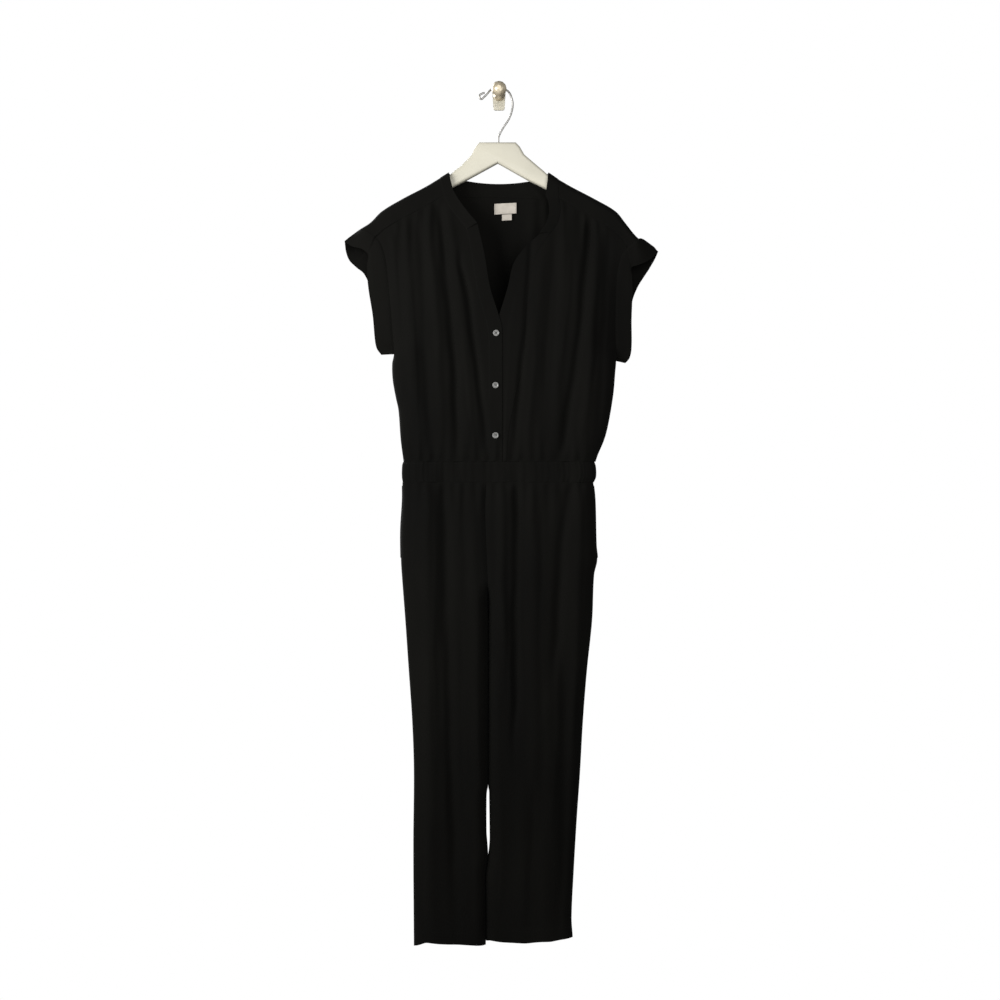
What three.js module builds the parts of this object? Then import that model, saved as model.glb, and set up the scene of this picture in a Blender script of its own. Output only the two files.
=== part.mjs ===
// A short-sleeved jumpsuit on a wooden hanger, which hangs on the knob of a small wall hook.
// Millimetres, +Z up. The wall is the plane y = 0, the garment faces -Y, and the origin is the
// point of the wall behind the top of the hanger's wire, where it hangs over the knob's stem.
import * as THREE from 'three';

// Driving sizes
const hangY = -38; // the plane of the hanger, midway between the garment's front and back
const clothThick = 2;
const cuffThick = 2.4;
const labelThick = 0.8;
const seamGap = 0.3; // between two pieces at a seam
const halfGap = seamGap / 2;
const ridgeDepth = 16; // half of the cloth's depth where it wraps over the hanger
const ridgeDrop = 13; // height of the rounded wrap over the hanger
const yokeDrop = 35; // the yoke's seams lie this far below the shoulder line
const waistTop = -654; // the casing of the elastic waist
const waistBottom = -690;
const crotchZ = -905;
const crotchRise = 45; // the front seam turns in to the crotch over this height

// Edge lines. Each row is a height z and the sideways place x there, or the reverse.
const shoulderLine = [
  { x: -272, z: -268 },
  { x: -259, z: -258 },
  { x: -242, z: -247 },
  { x: -225, z: -236 },
  { x: -206, z: -217 },
  { x: -170, z: -195 },
  { x: -128, z: -173 },
  { x: -94, z: -153 },
  { x: -60, z: -138 },
  { x: 60, z: -138 },
  { x: 91, z: -153 },
  { x: 126, z: -173 },
  { x: 168, z: -195 },
  { x: 205, z: -217 },
  { x: 222, z: -238 },
  { x: 238, z: -258 },
  { x: 258, z: -276 },
  { x: 277, z: -294 },
];

const leftSide = {
  sign: -1,
  neckX: -96,
  neckRidgeX: -103,
  cuffX: -215,
  cuffRidgeX: -240,
  underarmZ: -466,
  inner: [
    { z: -190, x: -96 },
    { z: -212, x: -85 },
    { z: -233, x: -69 },
    { z: -250, x: -57 },
    { z: -295, x: -48 },
    { z: -355, x: -38 },
    { z: -400, x: -26 },
    { z: -430, x: -19 },
    { z: -460, x: -18 },
    { z: -654, x: -18 },
  ],
  outer: [
    { z: -262, x: -215 },
    { z: -274, x: -206 },
    { z: -300, x: -198 },
    { z: -340, x: -193 },
    { z: -400, x: -188 },
    { z: -440, x: -185 },
    { z: -466, x: -184 },
    { z: -483, x: -187 },
    { z: -511, x: -186 },
    { z: -540, x: -181 },
    { z: -564, x: -176 },
    { z: -616, x: -172 },
    { z: -654, x: -167 },
  ],
  placketFree: [
    { z: -238, x: -38 },
    { z: -290, x: -26 },
    { z: -352, x: -15.5 },
    { z: -397, x: -1.5 },
    { z: -420, x: 4.5 },
    { z: -440, x: 5.2 },
    { z: -654, x: 5.2 },
  ],
  casing: [
    { z: -654, x: -167.5 },
    { z: -660, x: -169.5 },
    { z: -680, x: -170 },
    { z: -690, x: -168.5 },
  ],
  trouserOuter: [
    { z: -690, x: -169 },
    { z: -721, x: -169 },
    { z: -774, x: -172 },
    { z: -826, x: -171.5 },
    { z: -852, x: -170 },
    { z: -931, x: -164 },
    { z: -1018, x: -158 },
    { z: -1106, x: -152 },
    { z: -1194, x: -149 },
    { z: -1325, x: -150 },
    { z: -1496, x: -149 },
  ],
  trouserInner: [
    { z: -690, x: -22.5 },
    { z: -740, x: -24.5 },
    { z: -850, x: -20.5 },
    { z: -905, x: -19.4 },
    { z: -1150, x: -19.4 },
    { z: -1216, x: -19.4 },
    { z: -1224, x: -19.8 },
    { z: -1230, x: -21.2 },
    { z: -1240, x: -22 },
    { z: -1302, x: -22 },
    { z: -1316, x: -20.9 },
    { z: -1330, x: -19.9 },
    { z: -1344, x: -19.4 },
    { z: -1354, x: -21 },
    { z: -1372, x: -23.8 },
    { z: -1400, x: -23.8 },
    { z: -1500, x: -23.3 },
  ],
  hem: [
    { x: -149, z: -1499.5 },
    { x: -141.8, z: -1497.3 },
    { x: -134.8, z: -1494.3 },
    { x: -127, z: -1491.4 },
    { x: -118, z: -1491.6 },
    { x: -100, z: -1493.4 },
    { x: -64, z: -1494.6 },
    { x: -36, z: -1496.2 },
    { x: -23, z: -1497.5 },
  ],
  openingFront: [
    { v: 0, x: -206, z: -467, depth: 0.15 },
    { v: 0.06, x: -213, z: -457, depth: 3.4 },
    { v: 0.12, x: -216, z: -443, depth: 6 },
    { v: 0.35, x: -220, z: -400, depth: 10 },
    { v: 0.6, x: -228, z: -348, depth: 12 },
    { v: 0.76, x: -230, z: -312, depth: 13 },
    { v: 0.83, x: -228, z: -294, depth: 13 },
    { v: 0.9, x: -240, z: -283, depth: 12 },
    { v: 0.96, x: -258, z: -278, depth: 8 },
    { v: 1, x: -270, z: -268, depth: 0 },
  ],
  openingBack: [
    { v: 0, x: -206, z: -467, depth: 0.15 },
    { v: 0.06, x: -212.5, z: -457, depth: 3.4 },
    { v: 0.12, x: -215, z: -443, depth: 6 },
    { v: 0.35, x: -218, z: -400, depth: 9 },
    { v: 0.58, x: -226, z: -350, depth: 10 },
    { v: 0.72, x: -237, z: -324, depth: 11 },
    { v: 0.82, x: -251, z: -312, depth: 12 },
    { v: 0.9, x: -263, z: -300, depth: 11 },
    { v: 0.96, x: -268.5, z: -285, depth: 8 },
    { v: 1, x: -270, z: -268, depth: 0 },
  ],
};

const rightSide = {
  sign: 1,
  neckX: 104,
  neckRidgeX: 103,
  cuffX: 224,
  cuffRidgeX: 244,
  underarmZ: -478,
  inner: [
    { z: -195, x: 104 },
    { z: -215, x: 107 },
    { z: -238, x: 102 },
    { z: -258, x: 88 },
    { z: -292, x: 66 },
    { z: -322, x: 57 },
    { z: -383, x: 49 },
    { z: -488, x: 42 },
    { z: -534, x: 31 },
    { z: -604, x: 17 },
    { z: -654, x: 13 },
  ],
  outer: [
    { z: -281, x: 224 },
    { z: -292, x: 215 },
    { z: -320, x: 207 },
    { z: -360, x: 204 },
    { z: -420, x: 203 },
    { z: -460, x: 204 },
    { z: -478, x: 205 },
    { z: -497, x: 203.5 },
    { z: -537, x: 200 },
    { z: -590, x: 191 },
    { z: -616, x: 184 },
    { z: -642, x: 173 },
    { z: -654, x: 169 },
  ],
  placketFree: [
    { z: -259, x: 70 },
    { z: -282, x: 45 },
    { z: -310, x: 25.5 },
    { z: -352, x: 15 },
    { z: -401, x: 0 },
    { z: -430, x: -8 },
    { z: -460, x: -12 },
    { z: -654, x: -12 },
  ],
  casing: [
    { z: -654, x: 167 },
    { z: -662, x: 169.5 },
    { z: -680, x: 170 },
    { z: -690, x: 166 },
  ],
  trouserOuter: [
    { z: -690, x: 165 },
    { z: -721, x: 168 },
    { z: -800, x: 170 },
    { z: -826, x: 172 },
    { z: -852, x: 166.5 },
    { z: -931, x: 163 },
    { z: -1018, x: 154 },
    { z: -1106, x: 147 },
    { z: -1194, x: 142 },
    { z: -1281, x: 136 },
    { z: -1368, x: 131 },
    { z: -1456, x: 127 },
    { z: -1490, x: 129 },
  ],
  trouserInner: [
    { z: -690, x: -22.2 },
    { z: -740, x: -24.2 },
    { z: -850, x: -20.2 },
    { z: -905, x: -18.9 },
    { z: -1150, x: -18.9 },
    { z: -1216, x: -18.9 },
    { z: -1224, x: -18.3 },
    { z: -1230, x: -17.1 },
    { z: -1240, x: -16.9 },
    { z: -1300, x: -16.2 },
    { z: -1316, x: -16.2 },
    { z: -1332, x: -17.4 },
    { z: -1342, x: -18.8 },
    { z: -1354, x: -20.5 },
    { z: -1372, x: -23.3 },
    { z: -1400, x: -23.3 },
    { z: -1491, x: -22.8 },
  ],
  hem: [
    { x: -23, z: -1490.5 },
    { x: -15, z: -1487.8 },
    { x: 5, z: -1489.9 },
    { x: 26, z: -1491 },
    { x: 47, z: -1491.8 },
    { x: 61, z: -1490.5 },
    { x: 75, z: -1489.4 },
    { x: 90, z: -1489 },
    { x: 104, z: -1486.9 },
    { x: 117, z: -1485.4 },
    { x: 129, z: -1484.4 },
  ],
  openingFront: [
    { v: 0, x: 221, z: -481.5, depth: 0.15 },
    { v: 0.05, x: 228, z: -473, depth: 2.8 },
    { v: 0.12, x: 231, z: -455, depth: 6 },
    { v: 0.35, x: 231, z: -408, depth: 10 },
    { v: 0.6, x: 232.5, z: -360, depth: 12 },
    { v: 0.78, x: 231.5, z: -330, depth: 13 },
    { v: 0.85, x: 231, z: -316, depth: 13 },
    { v: 0.91, x: 244, z: -311, depth: 12 },
    { v: 0.96, x: 262, z: -303, depth: 8 },
    { v: 1, x: 277, z: -288, depth: 0 },
  ],
  openingBack: [
    { v: 0, x: 221, z: -481.5, depth: 0.15 },
    { v: 0.05, x: 227.5, z: -473, depth: 2.8 },
    { v: 0.12, x: 230, z: -455, depth: 6 },
    { v: 0.35, x: 230, z: -408, depth: 9 },
    { v: 0.54, x: 234, z: -372, depth: 10 },
    { v: 0.68, x: 243, z: -348, depth: 11 },
    { v: 0.8, x: 254, z: -330, depth: 12 },
    { v: 0.89, x: 264, z: -315, depth: 11 },
    { v: 0.96, x: 272, z: -300, depth: 8 },
    { v: 1, x: 277, z: -288, depth: 0 },
  ],
};

// How far the cloth stands in front of and behind the plane of the hanger
const fullness = [
  { z: -190, front: 16, back: 16 },
  { z: -300, front: 24, back: 21 },
  { z: -400, front: 28, back: 23 },
  { z: -520, front: 28, back: 23 },
  { z: -620, front: 26, back: 21 },
  { z: -654, front: 22, back: 18 },
  { z: -690, front: 22, back: 18 },
  { z: -740, front: 26, back: 21 },
  { z: -830, front: 28, back: 23 },
  { z: -905, front: 26, back: 22 },
  { z: -1000, front: 23, back: 20 },
  { z: -1250, front: 21, back: 18 },
  { z: -1500, front: 20, back: 18 },
];

// Half of the open depth that the sleeve keeps along the cuff's seam
const sleeveOpen = [
  { below: 0, depth: 15 },
  { below: 40, depth: 14 },
  { below: 90, depth: 12 },
  { below: 140, depth: 10 },
  { below: 175, depth: 7 },
  { below: 194, depth: 3.5 },
  { below: 204, depth: 0 },
];

// Largest folds. A row runs from its top place to its low place by way of a middle one,
// wide is its whole width, and deep is its height: above nought for a ridge, below for a trough.
const bodiceFrontFolds = [
  { x: -185, z: -262, midX: -180, lowX: -176, lowZ: -430, wide: 16, deep: 2 },
  { x: -164, z: -240, midX: -155, lowX: -148, lowZ: -560, wide: 22, deep: 3.5 },
  { x: -138, z: -240, midX: -128, lowX: -120, lowZ: -640, wide: 18, deep: -2.5 },
  { x: -124, z: -225, midX: -107, lowX: -98, lowZ: -640, wide: 20, deep: 3 },
  { x: -105, z: -208, midX: -82, lowX: -70, lowZ: -655, wide: 17, deep: -7 },
  { x: -88, z: -230, midX: -60, lowX: -50, lowZ: -640, wide: 20, deep: 2.5 },
  { x: -68, z: -310, midX: -38, lowX: -22, lowZ: -655, wide: 13, deep: -5.5 },
  { x: 58, z: -270, midX: 42, lowX: 26, lowZ: -655, wide: 13, deep: -4 },
  { x: 76, z: -300, midX: 62, lowX: 48, lowZ: -640, wide: 22, deep: 2.5 },
  { x: 97, z: -255, midX: 88, lowX: 76, lowZ: -560, wide: 18, deep: -2 },
  { x: 118, z: -220, midX: 108, lowX: 94, lowZ: -640, wide: 24, deep: 3 },
  { x: 158, z: -235, midX: 138, lowX: 106, lowZ: -660, wide: 17, deep: -7 },
  { x: 173, z: -255, midX: 160, lowX: 142, lowZ: -640, wide: 22, deep: 3.5 },
  { x: 188, z: -270, midX: 182, lowX: 170, lowZ: -620, wide: 18, deep: -2 },
];

const bodiceBackFolds = [
  { x: -150, z: -240, midX: -140, lowX: -128, lowZ: -640, wide: 30, deep: -4 },
  { x: -112, z: -215, midX: -100, lowX: -88, lowZ: -650, wide: 28, deep: 3.5 },
  { x: -62, z: -230, midX: -58, lowX: -46, lowZ: -650, wide: 30, deep: -3.5 },
  { x: -6, z: -240, midX: 0, lowX: 8, lowZ: -650, wide: 34, deep: 3 },
  { x: 58, z: -230, midX: 54, lowX: 48, lowZ: -650, wide: 28, deep: -4 },
  { x: 118, z: -220, midX: 104, lowX: 92, lowZ: -650, wide: 30, deep: 3.5 },
  { x: 160, z: -250, midX: 148, lowX: 132, lowZ: -640, wide: 28, deep: -4 },
];

const trouserFrontFolds = [
  { x: -124, z: -690, midX: -121, lowX: -116, lowZ: -1480, wide: 28, deep: 4.5 },
  { x: -97, z: -690, midX: -86, lowX: -73, lowZ: -1480, wide: 24, deep: -6.5 },
  { x: -62, z: -690, midX: -60, lowX: -58, lowZ: -900, wide: 18, deep: -1.5 },
  { x: -42, z: -760, midX: -38, lowX: -33, lowZ: -1440, wide: 24, deep: 2.5 },
  { x: 6, z: -690, midX: 6, lowX: 8, lowZ: -1010, wide: 20, deep: 4 },
  { x: 31, z: -700, midX: 29, lowX: 27, lowZ: -1150, wide: 15, deep: -7 },
  { x: 58, z: -690, midX: 60, lowX: 62, lowZ: -1260, wide: 30, deep: 4 },
  { x: 122, z: -690, midX: 106, lowX: 97, lowZ: -1030, wide: 22, deep: -6 },
  { x: 142, z: -690, midX: 138, lowX: 126, lowZ: -1180, wide: 26, deep: 3.5 },
  { x: 114, z: -1010, midX: 113, lowX: 104, lowZ: -1490, wide: 26, deep: -5 },
  { x: 44, z: -1100, midX: 42, lowX: 38, lowZ: -1490, wide: 30, deep: 2.5 },
  { x: 86, z: -1050, midX: 84, lowX: 76, lowZ: -1490, wide: 24, deep: 2 },
];

const trouserBackFolds = [
  { x: -128, z: -690, midX: -126, lowX: -120, lowZ: -1250, wide: 34, deep: -4 },
  { x: -84, z: -690, midX: -84, lowX: -88, lowZ: -1480, wide: 36, deep: 4 },
  { x: -48, z: -690, midX: -48, lowX: -52, lowZ: -1100, wide: 28, deep: -3 },
  { x: 24, z: -690, midX: 26, lowX: 30, lowZ: -1100, wide: 28, deep: -3 },
  { x: 66, z: -690, midX: 66, lowX: 62, lowZ: -1480, wide: 36, deep: 4 },
  { x: 122, z: -690, midX: 118, lowX: 104, lowZ: -1250, wide: 34, deep: -4 },
];

// Small numeric helpers
const mix = (a, b, t) => a + (b - a) * t;
const clamp01 = (t) => Math.min(Math.max(t, 0), 1);

function ease(t) {
  const c = clamp01(t);
  return c * c * (3 - 2 * c);
}

// A quarter of a circle: 0 at an edge, 1 from a distance of one on
function rounded(t) {
  const c = 1 - clamp01(t);
  return Math.sqrt(Math.max(1 - c * c, 0));
}

// A smooth curve through the rows of a table, from one of its columns to another
function through(rows, from, to) {
  const sorted = [...rows].sort((a, b) => a[from] - b[from]);
  const last = sorted.length - 1;
  const slopes = sorted.map((row, i) => {
    const before = sorted[Math.max(i - 1, 0)];
    const after = sorted[Math.min(i + 1, last)];
    return (after[to] - before[to]) / (after[from] - before[from]);
  });
  return (place) => {
    if (place <= sorted[0][from]) return sorted[0][to];
    if (place >= sorted[last][from]) return sorted[last][to];
    const i = sorted.findIndex((row) => row[from] >= place) - 1;
    const span = sorted[i + 1][from] - sorted[i][from];
    const t = (place - sorted[i][from]) / span;
    const t2 = t * t;
    const t3 = t2 * t;
    return (
      (2 * t3 - 3 * t2 + 1) * sorted[i][to] +
      (t3 - 2 * t2 + t) * span * slopes[i] +
      (3 * t2 - 2 * t3) * sorted[i + 1][to] +
      (t3 - t2) * span * slopes[i + 1]
    );
  };
}

const ridgeZ = through(shoulderLine, 'x', 'z');
const frontFull = through(fullness, 'z', 'front');
const backFull = through(fullness, 'z', 'back');
const openAt = through(sleeveOpen, 'below', 'depth');

for (const side of [leftSide, rightSide]) {
  side.innerX = through(side.inner, 'z', 'x');
  side.outerX = through(side.outer, 'z', 'x');
  side.placketX = through(side.placketFree, 'z', 'x');
  side.casingX = through(side.casing, 'z', 'x');
  side.trouserOuterX = through(side.trouserOuter, 'z', 'x');
  side.trouserInnerX = through(side.trouserInner, 'z', 'x');
  side.hemZ = through(side.hem, 'x', 'z');
  side.cuffTopZ = side.outer[0].z;
  side.neckZ = side.inner[0].z;
}

// Height of a yoke's front and back seams, from the neck to the cuff. It runs straight between
// the columns of the yoke, so that the panels below it meet the yoke all along.
const yokeColumns = 8;

function yokeSeamZ(x) {
  const side = x < 0 ? leftSide : rightSide;
  const lift = (t) => {
    const place = mix(side.neckX, side.cuffX, t);
    const level = (at) => ridgeZ(at) - yokeDrop;
    const ends = mix(side.neckZ - level(side.neckX), side.cuffTopZ - level(side.cuffX), t);
    return level(place) + ends;
  };
  const t = (yokeColumns * (x - side.neckX)) / (side.cuffX - side.neckX);
  const column = Math.min(Math.max(Math.floor(t), 0), yokeColumns - 1);
  return mix(lift(column / yokeColumns), lift((column + 1) / yokeColumns), t - column);
}

// Folds: where one lies at a height, and how far all of them move the cloth out
function foldX(fold, z) {
  const t = clamp01((fold.z - z) / (fold.z - fold.lowZ));
  const bow = fold.midX - (fold.x + fold.lowX) / 2;
  return mix(fold.x, fold.lowX, t) + bow * 4 * t * (1 - t);
}

function foldFade(fold, z) {
  const run = fold.z - fold.lowZ;
  const t = (fold.z - z) / run;
  return ease((t + 0.12) / 0.2) * ease((1.12 - t) / 0.35);
}

function foldHeight(folds, x, z) {
  let height = 0;
  for (const fold of folds) {
    const away = (x - foldX(fold, z)) / (fold.wide / 2);
    height += fold.deep * foldFade(fold, z) * Math.exp(-1.4 * away * away);
  }
  return height;
}

// Columns of a panel, closer together on its folds and towards a rounded edge
function columnPlaces(count, folds, xIn, xOut, z, edgeIn, edgeOut) {
  const steps = 160;
  const sums = [0];
  for (let i = 0; i < steps; i += 1) {
    const s = (i + 0.5) / steps;
    const x = mix(xIn, xOut, s);
    let weight = 1 + 5 * edgeOut * Math.exp(-(1 - s) * 14) + 5 * edgeIn * Math.exp(-s * 14);
    for (const fold of folds) {
      const away = (x - foldX(fold, z)) / (fold.wide * 0.6);
      weight += 0.35 * Math.abs(fold.deep) * Math.exp(-away * away);
    }
    sums.push(sums[i] + weight);
  }
  const places = [];
  let i = 0;
  for (let c = 0; c <= count; c += 1) {
    const wanted = (sums[steps] * c) / count;
    while (i < steps - 1 && sums[i + 1] < wanted) i += 1;
    places.push((i + (wanted - sums[i]) / (sums[i + 1] - sums[i])) / steps);
  }
  places[0] = 0;
  places[count] = 1;
  return places;
}

// Depth of the bodice in front of or behind the hanger's plane, with its folds
function bodiceDepth(x, z, face) {
  const front = face < 0;
  const full = front ? frontFull(z) : backFull(z);
  const below = yokeSeamZ(x) - z;
  const body = mix(ridgeDepth, full, ease(below / 120));
  const side = x < 0 ? leftSide : rightSide;
  const away = Math.abs(side.outerX(z) - x);
  const open = openAt(side.cuffTopZ - z);
  const rim = mix(open, halfGap, ease((side.underarmZ + 25 - z) / 25));
  const soft = ease((z - side.underarmZ) / 30);
  const round = mix(rounded(away / 44), 1 - (1 - clamp01(away / 60)) ** 2, soft);
  const folds = front ? bodiceFrontFolds : bodiceBackFolds;
  const height = foldHeight(folds, x, z) * ease(away / 24) * ease((below + 4) / 30);
  const nearWaist = ease((z - waistTop) / 26);
  return mix(rim, body, round) + height * mix(0.45, 1, nearWaist);
}

// A grid is rows of places on the outer side of the cloth, with the ways that face out of it
function gridOf(rows, columns, place) {
  const grid = [];
  for (let r = 0; r <= rows; r += 1) {
    const line = [];
    for (let c = 0; c <= columns; c += 1) line.push(place(r, c));
    grid.push(line);
  }
  return grid;
}

function facing(grid, towards) {
  const rows = grid.length - 1;
  const columns = grid[0].length - 1;
  const slope = (a, b, c) => a.clone().multiplyScalar(-3).addScaledVector(b, 4).sub(c);
  const along = (line, i, last) => {
    if (last < 2) return line(last).clone().sub(line(0));
    if (i === 0) return slope(line(0), line(1), line(2));
    if (i === last) return slope(line(last), line(last - 1), line(last - 2)).negate();
    return line(i + 1).clone().sub(line(i - 1));
  };
  return grid.map((line, r) =>
    line.map((point, c) => {
      const down = along((i) => grid[i][c], r, rows);
      const across = along((i) => line[i], c, columns);
      const out = down.cross(across).normalize();
      return out.dot(towards(point, r, c)) < 0 ? out.negate() : out;
    }),
  );
}

// The wall of a piece of cloth: the grid's outer side, the inner side and the four rims
function clothWall(grid, outward, thick) {
  const rows = grid.length - 1;
  const columns = grid[0].length - 1;
  const positions = [];
  const index = [];
  const number = (r, c, inner) => (r * (columns + 1) + c) * 2 + (inner ? 1 : 0);
  grid.forEach((line, r) =>
    line.forEach((point, c) => {
      const inside = point.clone().addScaledVector(outward[r][c], -thick);
      positions.push(point.x, point.y, point.z, inside.x, inside.y, inside.z);
    }),
  );
  const quad = (a, b, c, d) => index.push(a, b, c, a, c, d);
  for (let r = 0; r < rows; r += 1) {
    for (let c = 0; c < columns; c += 1) {
      const corner = [[r, c], [r + 1, c], [r + 1, c + 1], [r, c + 1]];
      quad(...corner.map(([i, j]) => number(i, j, false)));
      quad(...corner.reverse().map(([i, j]) => number(i, j, true)));
    }
  }
  const rim = (ends) => {
    for (let i = 0; i < ends.length - 1; i += 1) {
      const [a, b] = [ends[i], ends[i + 1]];
      quad(number(...a, true), number(...b, true), number(...b, false), number(...a, false));
    }
  };
  const rowLine = (r) => grid[0].map((point, c) => [r, c]);
  const columnLine = (c) => grid.map((line, r) => [r, c]);
  rim(rowLine(0).reverse());
  rim(rowLine(rows));
  rim(columnLine(0));
  rim(columnLine(columns).reverse());
  const middle = [Math.floor(rows / 2), Math.floor(columns / 2)];
  const first = grid[middle[0]][middle[1]];
  const across = grid[middle[0]][middle[1] + 1].clone().sub(first);
  const down = grid[middle[0] + 1][middle[1]].clone().sub(first);
  if (down.cross(across).dot(outward[middle[0]][middle[1]]) < 0) index.reverse();
  const geometry = new THREE.BufferGeometry();
  geometry.setAttribute('position', new THREE.Float32BufferAttribute(positions, 3));
  geometry.setIndex(index);
  geometry.computeVertexNormals();
  return geometry;
}

// Materials
const blackCrepe = new THREE.MeshStandardMaterial({ color: 0x131310, roughness: 0.9 });
const whitePaint = new THREE.MeshStandardMaterial({ color: 0xdfdac9, roughness: 0.45 });
const chrome = new THREE.MeshStandardMaterial({ color: 0xc8c8c8, roughness: 0.15, metalness: 1 });
const pearl = new THREE.MeshStandardMaterial({ color: 0xb9b7b0, roughness: 0.3 });
const wovenLabel = new THREE.MeshStandardMaterial({ color: 0xc7bfb4, roughness: 0.85 });
const clearKnob = new THREE.MeshStandardMaterial({ color: 0xcfc5b4, roughness: 0.1 });

const jumpsuit = new THREE.Group();

function add(name, geometry, material) {
  const mesh = new THREE.Mesh(geometry, material);
  mesh.name = name;
  jumpsuit.add(mesh);
  return mesh;
}

const outFront = new THREE.Vector3(0, -1, 0);
const outBack = new THREE.Vector3(0, 1, 0);
const outOf = (face) => (face < 0 ? outFront : outBack);

// Turns a rim's way out so that it has no part across the seam
function flatten(way, axis) {
  way[axis] = 0;
  return way.normalize();
}

// Front panels of the bodice, with the cap of the sleeve cut on
const sleeveRows = 8;
const bodiceRows = 16;
const bodiceColumns = 24;
const cornerRow = 2; // the collar ends and the placket starts at this row

function bodiceRow(side, r) {
  const split = (side.cuffTopZ - side.underarmZ) / (side.cuffTopZ - waistTop);
  const t = r <= sleeveRows
    ? (split * r) / sleeveRows
    : mix(split, 1, (r - sleeveRows) / (bodiceRows - sleeveRows));
  const low = waistTop + halfGap;
  const inZ = mix(side.neckZ, low, t);
  const outZ = mix(side.cuffTopZ, low, t);
  return { t, inZ, outZ };
}

function frontPanel(side) {
  const place = (r, c) => {
    const { t, inZ, outZ } = bodiceRow(side, r);
    const xIn = side.innerX(inZ) + side.sign * halfGap;
    const xOut = side.outerX(outZ);
    const folds = bodiceFrontFolds;
    const s = columnPlaces(bodiceColumns, folds, xIn, xOut, mix(inZ, outZ, 0.5), 0, 1)[c];
    const x = mix(xIn, xOut, s);
    const sag = yokeSeamZ(mix(side.neckX, side.cuffX, s)) - mix(side.neckZ, side.cuffTopZ, s);
    const z = mix(inZ, outZ, s) + sag * (1 - t) ** 2 - halfGap * (1 - t);
    return new THREE.Vector3(x, hangY - bodiceDepth(x, z, -1), z);
  };
  const grid = gridOf(bodiceRows, bodiceColumns, place);
  const outward = facing(grid, () => outFront);
  grid.forEach((line, r) => {
    flatten(outward[r][0], 'x');
    if (r > sleeveRows) flatten(outward[r][bodiceColumns], 'y');
  });
  outward[sleeveRows][bodiceColumns].set(side.sign, 0, -1).normalize();
  grid[0].forEach((point, c) => outward[0][c].copy(outFront));
  outward[bodiceRows].forEach((way) => flatten(way, 'z'));
  return { grid, outward };
}

// The back of the bodice in one piece. Its top edge meets both yokes and the collar.
const neckColumns = 8;
const backNeckDip = 3;

function backPanel() {
  const columns = yokeColumns * 2 + neckColumns;
  const topPlace = (c) => {
    if (c <= yokeColumns) return mix(leftSide.cuffX, leftSide.neckX, c / yokeColumns);
    const onRight = c - yokeColumns - neckColumns;
    if (onRight >= 0) return mix(rightSide.neckX, rightSide.cuffX, onRight / yokeColumns);
    return mix(leftSide.neckX, rightSide.neckX, (c - yokeColumns) / neckColumns);
  };
  const topZ = (x) => {
    if (x <= leftSide.neckX || x >= rightSide.neckX) return yokeSeamZ(x) - halfGap;
    const t = (x - leftSide.neckX) / (rightSide.neckX - leftSide.neckX);
    const straight = mix(yokeSeamZ(leftSide.neckX), yokeSeamZ(rightSide.neckX), t);
    return straight - halfGap + backNeckDip * 4 * t * (1 - t);
  };
  const place = (r, c) => {
    const left = bodiceRow(leftSide, r);
    const right = bodiceRow(rightSide, r);
    const xLeft = leftSide.outerX(left.outZ);
    const xRight = rightSide.outerX(right.outZ);
    const share = (x, a, b) => (x - a) / (b - a);
    const atTop = share(topPlace(c), leftSide.cuffX, rightSide.cuffX);
    const low = (1 - Math.cos((Math.PI * c) / columns)) / 2;
    const s = mix(atTop, mix(atTop, low, 0.6), ease(left.t * 1.5));
    const x = mix(xLeft, xRight, s);
    const sag = topZ(topPlace(c)) - mix(leftSide.cuffTopZ, rightSide.cuffTopZ, atTop);
    const z = mix(left.outZ, right.outZ, s) + sag * (1 - mix(left.t, right.t, s));
    return new THREE.Vector3(x, hangY + bodiceDepth(x, z, 1), z);
  };
  const grid = gridOf(bodiceRows, columns, place);
  const outward = facing(grid, () => outBack);
  outward.forEach((line, r) => {
    if (r <= sleeveRows) return;
    flatten(line[0], 'y');
    flatten(line[columns], 'y');
  });
  outward[sleeveRows][0].set(-1, 0, -1).normalize();
  outward[sleeveRows][columns].set(1, 0, -1).normalize();
  outward[0].forEach((way) => way.copy(outBack));
  outward[bodiceRows].forEach((way) => flatten(way, 'z'));
  return { grid, outward };
}

// A yoke is a saddle from its front seam over the hanger to its back seam
const yokeTurns = [1, 0.66];
const wrapAngles = [90, 67.5, 45, 22.5, 0];

function yokeStations() {
  const flat = yokeTurns.map((share) => ({ share, depth: 1 }));
  const wrap = wrapAngles.map((degrees) => {
    const a = (degrees * Math.PI) / 180;
    return { share: (ridgeDrop * (1 - Math.cos(a))) / yokeDrop, depth: Math.sin(a) };
  });
  const front = [...flat, ...wrap].map((station) => ({ ...station, face: -1 }));
  const back = front.slice(0, -1).reverse().map((station) => ({ ...station, face: 1 }));
  return [...front, ...back];
}

function yoke(side) {
  const stations = yokeStations();
  const place = (r, c) => {
    const t = c / yokeColumns;
    const { share, depth, face } = stations[r];
    const xRidge = mix(side.neckRidgeX, side.cuffRidgeX, t);
    const xSeam = mix(side.neckX, side.cuffX, t);
    const end = c === 0 ? side.sign * halfGap : 0;
    const x = mix(xRidge, xSeam, share) + end;
    const z = mix(ridgeZ(xRidge), yokeSeamZ(xSeam) + halfGap, share);
    return new THREE.Vector3(x, hangY + face * depth * ridgeDepth, z);
  };
  const grid = gridOf(stations.length - 1, yokeColumns, place);
  const axis = (point) => new THREE.Vector3(0, point.y - hangY, ridgeDrop);
  const outward = facing(grid, axis);
  outward[0].forEach((way) => way.copy(outFront));
  outward[stations.length - 1].forEach((way) => way.copy(outBack));
  return { grid, outward };
}

// The loop of edge places where a cuff or the collar is sewn on, with their ways out
function edgeLoop(...stretches) {
  const loop = [];
  for (const { piece, at } of stretches) {
    for (const [r, c] of at) {
      loop.push({ point: piece.grid[r][c].clone(), way: piece.outward[r][c].clone() });
    }
  }
  return loop;
}

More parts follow.
